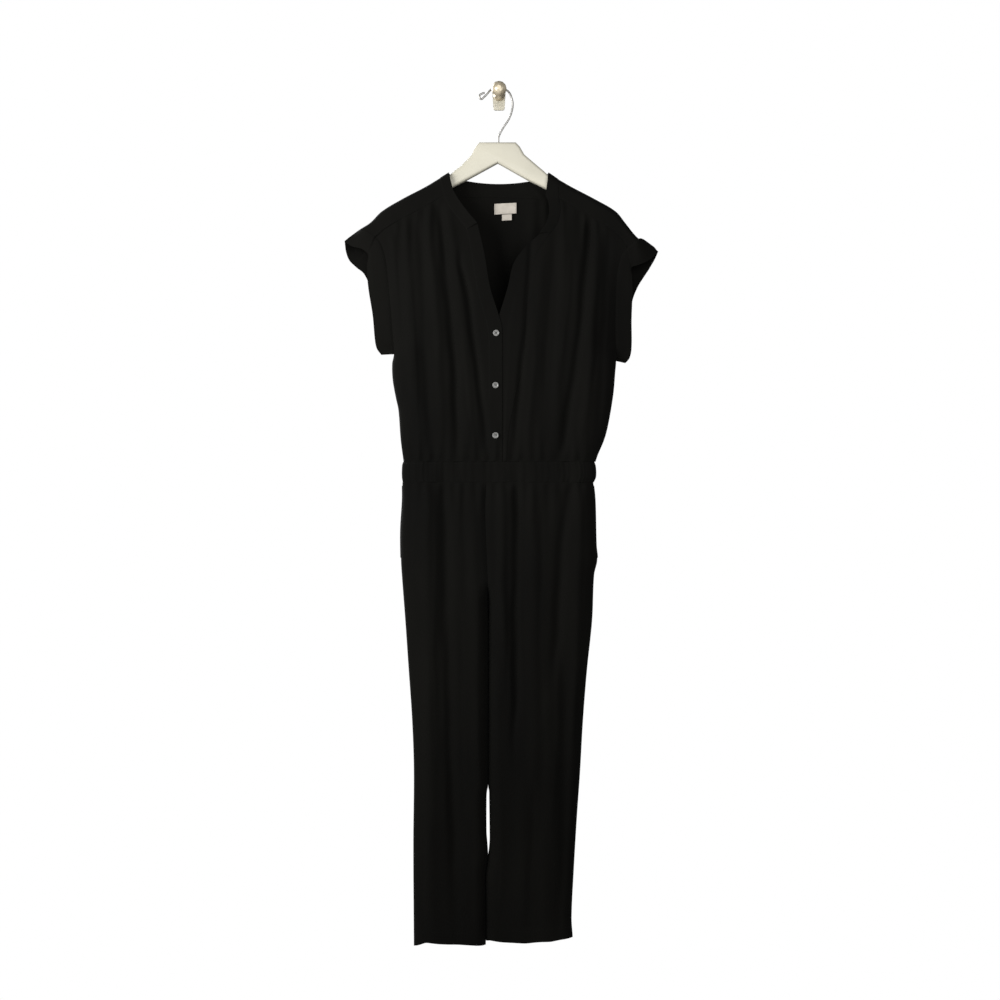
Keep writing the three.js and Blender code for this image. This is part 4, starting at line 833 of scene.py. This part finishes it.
def collarBetween(a, b, t, bow=0.0, dip=0.0, swell=0.0):
    a, b, t = np.array(a, float), np.array(b, float), np.asarray(t)[:, None]
    hump = 4 * t * (1 - t)
    return mix(a, b, t) + hump * np.array([bow, swell, dip])


def collarOverRidge(ends):
    edge = []
    for share, deep in zip(stationShare[1:-1], stationDeep[1:-1]):
        end = ends["front"] if deep < 0 else ends["back"]
        x, z = mix(ends["ridge"][0], end[0], share), mix(ends["ridge"][2], end[2], share)
        edge.append((x, deep * cut["ridgeDepth"], z))
    return np.array(edge)


def collarBand():
    yokeCols, neckCols = backCut["yokeColumns"], backCut["neckColumns"]
    neckSlice = slice(yokeCols, yokeCols + neckCols + 1)
    down = np.arange(cornerRow + 1) / cornerRow
    fromLeft, fromRight = collarEdge["left"], collarEdge["right"]
    back = collarBetween(fromLeft["back"], fromRight["back"], np.linspace(0, 1, neckCols + 1),
                         0, collarCut["backDip"], collarCut["backSwell"])
    edge = np.concatenate([
        collarBetween(fromLeft["front"], fromLeft["corner"], down, collarCut["bowLeft"])[::-1],
        collarOverRidge(fromLeft),
        back,
        collarOverRidge(fromRight)[::-1],
        collarBetween(fromRight["front"], fromRight["corner"], down, collarCut["bowRight"]),
    ])
    edge[:, 1] += cut["hangY"]
    loops = []
    for i in (0, 1):
        loops.append(np.concatenate([
            panels["left"][i][:cornerRow + 1, 0][::-1],
            yokes["left"][i][1:-1, 0],
            (backPoints, backNormals)[i][0, neckSlice],
            yokes["right"][i][1:-1, 0][::-1],
            panels["right"][i][:cornerRow + 1, 0],
        ]))
    seam, way = loops
    start = seam + unit(edge - seam) * collarCut["gap"]
    u = np.linspace(0, 1, collarCut["rows"] + 1)[:, None, None]
    proud = collarCut["proud"] * rounded(u / 0.15)
    points = mix(start[None], edge[None], u) + way[None] * proud
    normals = gridNormals(points, way[None])
    return points, normals


collarPoints, collarNormals = collarBand()
piece = clothShell("collar_band_cloth", collarPoints, collarNormals, collarCut["thick"])
sewnOn(piece, "collar_band")
for row in (1, -3):
    stitchLine(collarPoints[row], collarNormals[row])

# Plackets down both front edges, the left one over the right one
placketCut = {"columns": 24, "thick": 0.9, "inset": 0.7, "overlapEdge": 7.5, "proud": 0.4,
              "coverFrom": -350, "coverReach": 45}


def placketStrip(side, over):
    t = rowShares(side)[cornerRow:][:, None]
    low = cut["waistTop"] + cut["halfGap"]
    inZ = mix(side["neckZ"], low, t)
    step = np.arange(len(t))[:, None] / (panel["sleeveRows"] / 8)
    s = np.linspace(0, 1, placketCut["columns"] + 1)[None, :]
    slant = (side["placket"][0][0] - inZ[0]) * s * (1 - clamp01(step / 2)) ** 2
    z = inZ + slant
    seamX = side["innerAt"](inZ)
    free = side["placketAt"](z)
    if over:
        x = mix(seamX, free, s)
        inset = -placketCut["proud"] * rounded(s / 0.12)
    else:
        bend = np.maximum(placketCut["overlapEdge"], mix(seamX, free, 0.7))
        x = np.where(s <= 0.75, mix(seamX, bend, s / 0.75), mix(bend, free, (s - 0.75) / 0.25))
        lapped = ease((placketCut["coverFrom"] - z) / placketCut["coverReach"])
        covered = ease((s - 0.5) / 0.2) * lapped
        lift = placketCut["proud"] * rounded(s / 0.12) * (1 - covered)
        inset = placketCut["inset"] * covered - lift
    points = np.stack([x, cut["hangY"] - bodiceDepth(x, z, -1) + inset, z], axis=-1)
    return points, gridNormals(points, outFront)


plackets = {"over": placketStrip(left, True), "under": placketStrip(right, False)}
for name, front in (("over", "left"), ("under", "right")):
    points, normals = plackets[name]
    piece = clothShell("placket_" + name + "_cloth", points, normals, placketCut["thick"])
    sewnOn(piece, "placket_" + name)
    columns = (2, -4) if name == "over" else (2,)
    for column in columns:
        stitchLine(points[2:-1, column], normals[2:-1, column])
print("collar and plackets made")

# Casing of the elastic waist, puffed and gathered between its two seams
casingCut = {"columns": 380, "rows": 20, "thick": 1.0, "proud": 0.15, "puff": 0.35, "gathers": 12,
             "deep": 0.3, "seed": 23, "lean": 30, "reach": 40.0, "carry": 0.35, "round": 40,
             "calm": 20, "paces": (0.41, 0.73, 1.37, 1.9, 2.7, 3.6)}


def casingBand(face):
    z = np.linspace(cut["waistTop"], cut["waistBottom"], casingCut["rows"] + 1)[:, None]
    u = np.linspace(0, 1, casingCut["columns"] + 1)[None, :]
    xLeft, xRight = left["casingAt"](z), right["casingAt"](z)
    x = mix(xLeft, xRight, mix(u, (1 - np.cos(np.pi * u)) / 2, 0.8))
    away = np.minimum(x - xLeft, xRight - x)
    full = (frontFull(z) if face < 0 else backFull(z)) + casingCut["proud"]
    turn = 2 * np.pi * casingCut["gathers"] * u
    rng = np.random.default_rng(casingCut["seed"] + face)
    gather = 0.6 * np.cos(turn + 0.6 * np.sin(turn / 3 + face))
    for pace in casingCut["paces"]:
        lean = rng.uniform(-1, 1) * (z - cut["waistTop"]) / casingCut["lean"]
        gather = gather + rng.uniform(0.25, 0.6) * np.sin(turn * pace + rng.uniform(0, 6) + lean)
    v = (cut["waistTop"] - z) / (cut["waistTop"] - cut["waistBottom"])
    puff = casingCut["puff"] * (np.sin(np.pi * v) ** 0.6 - 0.6)
    upper, lower = (bodiceFront, trouserFront) if face < 0 else (bodiceBack, trouserBack)
    above = foldHeight(upper, x, cut["waistTop"] + casingCut["reach"] + 0 * z)
    below = foldHeight(lower, x, cut["waistBottom"] - casingCut["reach"] + 0 * z)
    lift = casingCut["deep"] * gather + puff + casingCut["carry"] * mix(above, below, v)
    depth = mix(cut["halfGap"], full, rounded(away / casingCut["round"]))
    depth = depth + lift * ease(away / casingCut["calm"])
    points = np.stack([x, cut["hangY"] + face * depth, z + 0 * x], axis=-1)
    normals = gridNormals(points, outFront if face < 0 else outBack)
    for column in (0, -1):
        levelEdge(normals, everyRow, column)
    return points, normals


for name, face in (("front", -1), ("back", 1)):
    points, normals = casingBand(face)
    piece = clothShell("waist_casing_" + name + "_cloth", points, normals, casingCut["thick"])
    sewnOn(piece, "waist_casing_" + name)
    for row in (2, -3):
        stitchLine(points[row, 4:-4], normals[row, 4:-4])

# Trouser legs
legCut = {"rowsAbove": 84, "rowsBelow": 230, "columns": 72, "hemTall": 24.0, "fold": 0.5,
          "foldFrom": 8, "levelOver": 240, "backLonger": 1.5, "hemStitch": 3}


def legPanel(side, face):
    top = cut["waistBottom"] - cut["halfGap"]
    above = np.linspace(top, cut["crotchZ"], legCut["rowsAbove"] + 1)
    below = np.linspace(cut["crotchZ"], side["hemStart"], legCut["rowsBelow"] + 1)[1:]
    level = np.concatenate([above, below])[:, None]
    both = edgeDense(legCut["columns"], bothEnds=True)[None, :]
    oneEnd = edgeDense(legCut["columns"])[None, :]
    s = mix(oneEnd, both, ease((cut["crotchZ"] + cut["crotchRise"] - level) / 90))
    touching = ease((cut["crotchZ"] + cut["crotchRise"] - level) / 10)
    xIn = side["legInnerAt"](level) - side["sign"] * cut["legTouch"] * touching
    xOut = side["legOuterAt"](level)
    x = mix(xIn, xOut, s)
    drop = ease((level - side["hemStart"] - legCut["levelOver"]) / -legCut["levelOver"])
    longer = legCut["backLonger"] if face > 0 else 0.0
    hemZ = side["hemAt"](x)
    z = level + (hemZ - side["hemStart"] - longer) * drop
    depth = legDepth(x, z, face, xIn, xOut)
    hemUp = z - hemZ
    away = np.minimum(np.abs(x - xIn), np.abs(xOut - x))
    fold = legCut["fold"] * ease((legCut["hemTall"] - hemUp) / 1.5) * ease(away / legCut["foldFrom"])
    points = np.stack([x, cut["hangY"] + face * (depth + fold), z], axis=-1)
    toward = np.zeros_like(points)
    toward[..., 1] = face
    toward[:, -1, 0] = side["sign"] * 10
    turned = slice(legCut["rowsAbove"], None)
    toward[turned, 0, 0] = -side["sign"] * 10
    normals = gridNormals(points, toward)
    levelEdge(normals, everyRow, -1)
    levelEdge(normals, turned, 0)
    return points, normals, hemUp


for name, side in (("left", left), ("right", right)):
    for half, face in (("front", -1), ("back", 1)):
        points, normals, hemUp = legPanel(side, face)
        node = "leg_" + half + "_" + name
        piece = clothShell(node + "_cloth", points, normals, cut["thick"])
        sewnOn(piece, node)
        inMiddle = hemUp[:, legCut["columns"] // 2]
        row = int(np.argmin(np.abs(inMiddle - legCut["hemTall"] + legCut["hemStitch"])))
        stitchLine(points[row, 1:-1], normals[row, 1:-1])
print("waist and legs made")

# Edges of the pocket bags in the side seams
pocketCut = {"top": -696, "bottom": -822, "wide": 14, "proud": 1.0, "thick": 1.4, "rows": 60,
             "columns": 8, "wave": 0.25, "wavePitch": 9.0}
for name, side in (("left", left), ("right", right)):
    z = np.linspace(pocketCut["top"], pocketCut["bottom"], pocketCut["rows"] + 1)[:, None]
    u = np.linspace(0, 1, pocketCut["columns"] + 1)[None, :]
    outer = side["legOuterAt"](z) + side["sign"] * pocketCut["proud"]
    x = outer - side["sign"] * pocketCut["wide"] * (1 - u)
    wave = pocketCut["wave"] * np.sin(z / pocketCut["wavePitch"])
    y = cut["hangY"] - pocketCut["thick"] / 2 + wave
    points = np.stack([x, y + 0 * x, z + 0 * x], axis=-1)
    normals = gridNormals(points, outFront)
    piece = clothShell("pocket_" + name + "_cloth", points, normals, pocketCut["thick"])
    sewnOn(piece, "pocket_" + name)

# Labels on the inside of the back, with nothing on them
labels = {
    "label_main": {"x": 11.2, "z": -208.8, "wide": 38.5, "tall": 18.5, "thick": 0.7, "off": 2.6},
    "label_small": {"x": 13.8, "z": -224.2, "wide": 17.0, "tall": 10.5, "thick": 0.5, "off": 3.5},
}
labelCut = {"columns": 48, "rows": 20, "tilt": 0.05, "bow": 0.5, "ripple": 0.25, "pitch": 5.0}
for name, label in labels.items():
    u = np.linspace(-0.5, 0.5, labelCut["columns"] + 1)[None, :] * label["wide"]
    v = np.linspace(0.5, -0.5, labelCut["rows"] + 1)[:, None] * label["tall"]
    x = label["x"] + u + 0 * v
    z = label["z"] + v + u * labelCut["tilt"]
    ripple = labelCut["ripple"] * np.cos(u / labelCut["pitch"])
    bowed = labelCut["bow"] * np.sin(np.pi * (v / label["tall"] + 0.5)) + ripple
    y = cut["hangY"] + bodiceDepth(x, z, 1, plain=True) - label["off"] - label["thick"] - bowed
    points = np.stack([x, y, z], axis=-1)
    normals = gridNormals(points, outFront)
    piece = clothShell(name + "_tape", points, normals, label["thick"], tape)
    sewnOn(piece, name)
    if name == "label_main":
        for column in (2, -3):
            stitchLine(points[1:-1, column], normals[1:-1, column], 0.0)
print("pockets and labels made")

# Buttons with a dished middle, four holes and the thread through them
buttonCut = {"radius": 5.5, "thick": 2.3, "hole": 0.75, "holeAway": 1.45, "off": 0.15, "steps": 48,
             "holeSteps": 16, "drill": 12}
buttonPlaces = {"button_top": (-5.0, -431.5), "button_middle": (-6.0, -522.0),
                "button_bottom": (-6.0, -609.0)}


def meshOf(work, name):
    mesh = bpy.data.meshes.new(name)
    work.to_mesh(mesh)
    work.free()
    return mesh


def shapeOf(piece):
    return bpy.data.meshes.new_from_object(piece.evaluated_get(bpy.context.evaluated_depsgraph_get()))


def buttonMesh():
    r, thick = buttonCut["radius"], buttonCut["thick"]
    profile = [(0, 0), (r - 1.2, 0), (r - 0.3, 0.35), (r, 1.0), (r - 0.1, 1.6), (r - 0.7, thick - 0.1),
               (r - 1.3, thick), (r - 1.9, thick - 0.35), (r - 2.4, thick - 0.7), (0, thick - 0.75)]
    work = bmesh.new()
    ring = [work.verts.new((x, 0, z)) for x, z in profile]
    edges = [work.edges.new((a, b)) for a, b in zip(ring, ring[1:])]
    bmesh.ops.spin(work, geom=ring + edges, cent=(0, 0, 0), axis=(0, 0, 1),
                   angle=math.tau, steps=buttonCut["steps"], use_merge=True)
    bmesh.ops.remove_doubles(work, verts=work.verts, dist=1e-4)
    bmesh.ops.recalc_face_normals(work, faces=work.faces)
    blank = placed("button_blank", meshOf(work, "button_blank"))
    work = bmesh.new()
    for i in range(4):
        a = math.pi / 2 * (i + 0.5)
        made = bmesh.ops.create_cone(work, cap_ends=True, segments=buttonCut["holeSteps"],
                                     radius1=buttonCut["hole"], radius2=buttonCut["hole"],
                                     depth=buttonCut["drill"])
        away = buttonCut["holeAway"]
        vec = (away * math.cos(a), away * math.sin(a), 0)
        bmesh.ops.translate(work, verts=made["verts"], vec=vec)
    drill = placed("button_drill", meshOf(work, "button_drill"))
    cutter = blank.modifiers.new("holes", "BOOLEAN")
    cutter.operation = "DIFFERENCE"
    cutter.object = drill
    cutter.solver = "EXACT"
    shape = shapeOf(blank)
    bpy.data.objects.remove(drill)
    bpy.data.objects.remove(blank)
    return shape


buttonShape = buttonMesh()
threadCut = {"off": 0.18, "past": 0.3, "rise": 0.5, "low": 0.45, "stops": 12}
slitCut = {"half": 7.2, "turns": 44, "inner": 0.35, "outer": 1.25}  # the buttonhole's worked edges
for name, (middle, z) in buttonPlaces.items():
    reach = buttonCut["radius"]
    around = np.array([[0, 0], [reach, 0], [-reach, 0], [0, reach], [0, -reach]])
    depths = bodiceDepth(middle + around[:, 0], z + around[:, 1], -1)
    back = cut["hangY"] - float(depths.max()) - placketCut["proud"] - buttonCut["off"]
    mesh = buttonShape.copy()
    mesh.name = name + "_pearl"
    for vertex in mesh.vertices:
        x, y, up = vertex.co
        vertex.co = ((middle + x) * mm, (back - up) * mm, (z + y) * mm)
    mesh.flip_normals()
    finished(mesh, pearl, sharpFrom["hard"])
    standsFor(placed(name + "_pearl", mesh), name)
    away = buttonCut["holeAway"] * math.sqrt(0.5)
    over = back - buttonCut["thick"] + threadCut["low"]
    for hole in (-away, away):  # two bars of thread across each pair of holes
        for offset in (-threadCut["off"], threadCut["off"]):
            up = np.linspace(-away - threadCut["past"], away + threadCut["past"], threadCut["stops"])
            arch = over + threadCut["rise"] * (np.abs(up) > away)
            bar = [np.full(threadCut["stops"], middle + hole + offset), arch, z + up]
            handPaths.append(np.stack(bar, axis=-1))
    slit = np.linspace(-slitCut["half"], slitCut["half"], slitCut["turns"])
    weave = np.where(np.arange(slitCut["turns"]) % 2 == 0, slitCut["inner"], slitCut["outer"])
    for edge in (-1, 1):
        x = middle + edge * weave
        y = cut["hangY"] - bodiceDepth(x, z + slit, -1) - placketCut["proud"] - 0.05
        handPaths.append(np.stack([x, y, z + slit], axis=-1))
print("buttons made")


# Stitching: small stitches set along every line, made by geometry nodes
stitching = {"pitch": 2.6, "length": 1.8, "handPitch": 0.5, "handLength": 0.62, "radius": 0.16,
             "sides": 5}


def stitchTree():
    tree = bpy.data.node_groups.new("set_stitches", "GeometryNodeTree")
    face = tree.interface
    face.new_socket("Geometry", in_out="INPUT", socket_type="NodeSocketGeometry")
    for label in ("Pitch", "Stitch Length", "Thread Radius"):
        face.new_socket(label, in_out="INPUT", socket_type="NodeSocketFloat")
    face.new_socket("Sides", in_out="INPUT", socket_type="NodeSocketInt")
    face.new_socket("Thread", in_out="INPUT", socket_type="NodeSocketMaterial")
    face.new_socket("Geometry", in_out="OUTPUT", socket_type="NodeSocketGeometry")
    add, link = tree.nodes.new, tree.links.new
    start, end = add("NodeGroupInput"), add("NodeGroupOutput")
    line = add("GeometryNodeMeshToCurve")
    link(start.outputs["Geometry"], line.inputs["Mesh"])
    places = add("GeometryNodeCurveToPoints")
    places.mode = "LENGTH"
    link(line.outputs["Curve"], places.inputs["Curve"])
    link(start.outputs["Pitch"], places.inputs["Length"])
    stitch = add("GeometryNodeMeshCylinder")
    link(start.outputs["Sides"], stitch.inputs["Vertices"])
    link(start.outputs["Thread Radius"], stitch.inputs["Radius"])
    link(start.outputs["Stitch Length"], stitch.inputs["Depth"])
    setOn = add("GeometryNodeInstanceOnPoints")
    link(places.outputs["Points"], setOn.inputs["Points"])
    link(places.outputs["Rotation"], setOn.inputs["Rotation"])
    link(stitch.outputs["Mesh"], setOn.inputs["Instance"])
    real = add("GeometryNodeRealizeInstances")
    link(setOn.outputs["Instances"], real.inputs["Geometry"])
    finish = add("GeometryNodeSetMaterial")
    link(real.outputs["Geometry"], finish.inputs["Geometry"])
    link(start.outputs["Thread"], finish.inputs["Material"])
    link(finish.outputs["Geometry"], end.inputs["Geometry"])
    return tree


def setStitches(name, paths, pitch, length):
    vertices, edges = [], []
    for path in paths:
        first = len(vertices)
        vertices += (path * mm).tolist()
        edges += [(first + i, first + i + 1) for i in range(len(path) - 1)]
    mesh = bpy.data.meshes.new(name)
    mesh.from_pydata(vertices, edges, [])
    piece = placed(name, mesh)
    sewing = piece.modifiers.new("stitches", "NODES")
    sewing.node_group = stitches
    values = {"Pitch": pitch * mm, "Stitch Length": length * mm,
              "Thread Radius": stitching["radius"] * mm, "Sides": stitching["sides"],
              "Thread": thread}
    for socket in stitches.interface.items_tree:
        if socket.in_out == "INPUT" and socket.name in values:
            sewing[socket.identifier] = values[socket.name]
    result = shapeOf(piece)
    piece.modifiers.clear()
    piece.data = result
    result.shade_smooth()
    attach(piece, "root")


stitches = stitchTree()
setStitches("seam_stitches", seamPaths, stitching["pitch"], stitching["length"])
setStitches("button_threads", handPaths, stitching["handPitch"], stitching["handLength"])
print("stitching made")


# Hanger, its hook and the wall hook
def mergedCopy(node, name, material):
    work = bmesh.new()
    work.from_mesh(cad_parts[node].data)
    bmesh.ops.remove_doubles(work, verts=work.verts, dist=1e-5)
    mesh = meshOf(work, name)
    for face in mesh.polygons:
        face.material_index = 0
    if "custom_normal" in mesh.attributes:
        mesh.attributes.remove(mesh.attributes["custom_normal"])
    finished(mesh, material, sharpFrom["hard"])
    standsFor(placed(name, mesh), node)


mergedCopy("hanger_body", "hanger_body_painted", paint)

hookCut = {"radius": 1.7, "bevel": 4, "between": 5}
hookPath = [  # the curl at the end, the arc over the knob's stem and the swan neck
    (-24.8, -8.5), (-29.8, -9.9), (-33.4, -12.2), (-34.3, -16.1), (-30.9, -19.4), (-27, -16.6),
    (-21.4, -11.1), (-14.7, -3.6), (-8, -0.85), (-1, 0.03), (5.6, -0.75), (12, -3.2), (17.6, -7.7),
    (22.1, -17.8), (24, -27.8), (22.7, -39), (18.7, -51.2), (14.5, -59), (8, -68.5), (2, -79),
    (-0.8, -86), (-1.2, -91), (-1.2, -95.7),
]


def hookWire():
    data = bpy.data.curves.new("hook_path", "CURVE")
    data.dimensions = "3D"
    data.bevel_depth = hookCut["radius"] * mm
    data.bevel_resolution = hookCut["bevel"]
    data.use_fill_caps = True
    data.resolution_u = hookCut["between"]
    spline = data.splines.new("BEZIER")
    spline.bezier_points.add(len(hookPath) - 1)
    for stop, (x, z) in zip(spline.bezier_points, hookPath):
        stop.co = (x * mm, cut["hangY"] * mm, z * mm)
        stop.handle_left_type = stop.handle_right_type = "AUTO"
    path = placed("hook_path", data)
    mesh = shapeOf(path)
    bpy.data.objects.remove(path)
    mesh.materials.clear()
    mesh.materials.append(chrome)
    mesh.shade_smooth()
    standsFor(placed("hanger_hook_wire", mesh), "hanger_hook")


hookWire()
mergedCopy("wall_plate", "wall_plate_cream", cream)

knobCut = {"radius": 13.4, "turns": 12, "z": -5.0, "rings": (27, 50, 76, 102, 126, 147, 165),
           "stem": [(10.5, 5.3), (9.5, 9.0), (5.5, 20.0), (3.0, 31.0)], "clear": 0.6, "sunk": 0.4}


def facetedKnob():
    # a stem and a cut ball whose flat facets are shifted half a turn from ring to ring
    middle = -cut["hangY"] + hookCut["radius"] + knobCut["radius"] + knobCut["clear"]
    work = bmesh.new()
    profile = [(across, away, 0) for across, away in knobCut["stem"]]
    neck = knobCut["stem"][-1][0]
    profile.append((neck, middle - knobCut["radius"] + knobCut["sunk"], 0))
    for i, degrees in enumerate(knobCut["rings"]):
        a = math.radians(degrees)
        away = middle - knobCut["radius"] * math.cos(a)
        profile.append((knobCut["radius"] * math.sin(a), away, (i + 1) % 2))
    rings = []
    count = knobCut["turns"]
    for across, away, shift in profile:
        ring = []
        for k in range(count):
            a = math.tau * (k + 0.5 * shift) / count
            x, z = across * math.cos(a), knobCut["z"] + across * math.sin(a)
            ring.append(work.verts.new((x * mm, -away * mm, z * mm)))
        rings.append((ring, shift))
    for (low, lowShift), (high, highShift) in zip(rings, rings[1:]):
        for k in range(count):
            a, b = low[k], low[(k + 1) % count]
            if lowShift == highShift:
                work.faces.new((a, b, high[(k + 1) % count], high[k]))
            elif highShift > lowShift:
                work.faces.new((a, b, high[k]))
                work.faces.new((b, high[(k + 1) % count], high[k]))
            else:
                work.faces.new((a, b, high[(k + 1) % count]))
                work.faces.new((a, high[(k + 1) % count], high[k]))
    work.faces.new(rings[0][0])
    work.faces.new(rings[-1][0])
    bmesh.ops.recalc_face_normals(work, faces=work.faces)
    mesh = meshOf(work, "wall_knob_cut")
    mesh.materials.append(champagne)
    standsFor(placed("wall_knob_cut", mesh), "wall_knob")


facetedKnob()
print("hanger and wall hook made")

# Floor
work = bmesh.new()
bmesh.ops.create_circle(work, cap_ends=True, segments=96, radius=room["floorRadius"] * mm)
floorMesh = meshOf(work, "floor")
floorMesh.materials.append(newMaterial("pale_floor", (0.82, 0.81, 0.79), 0.7)[0])
floor = placed("floor", floorMesh)
floor.location = (0, 0, room["floorZ"] * mm)
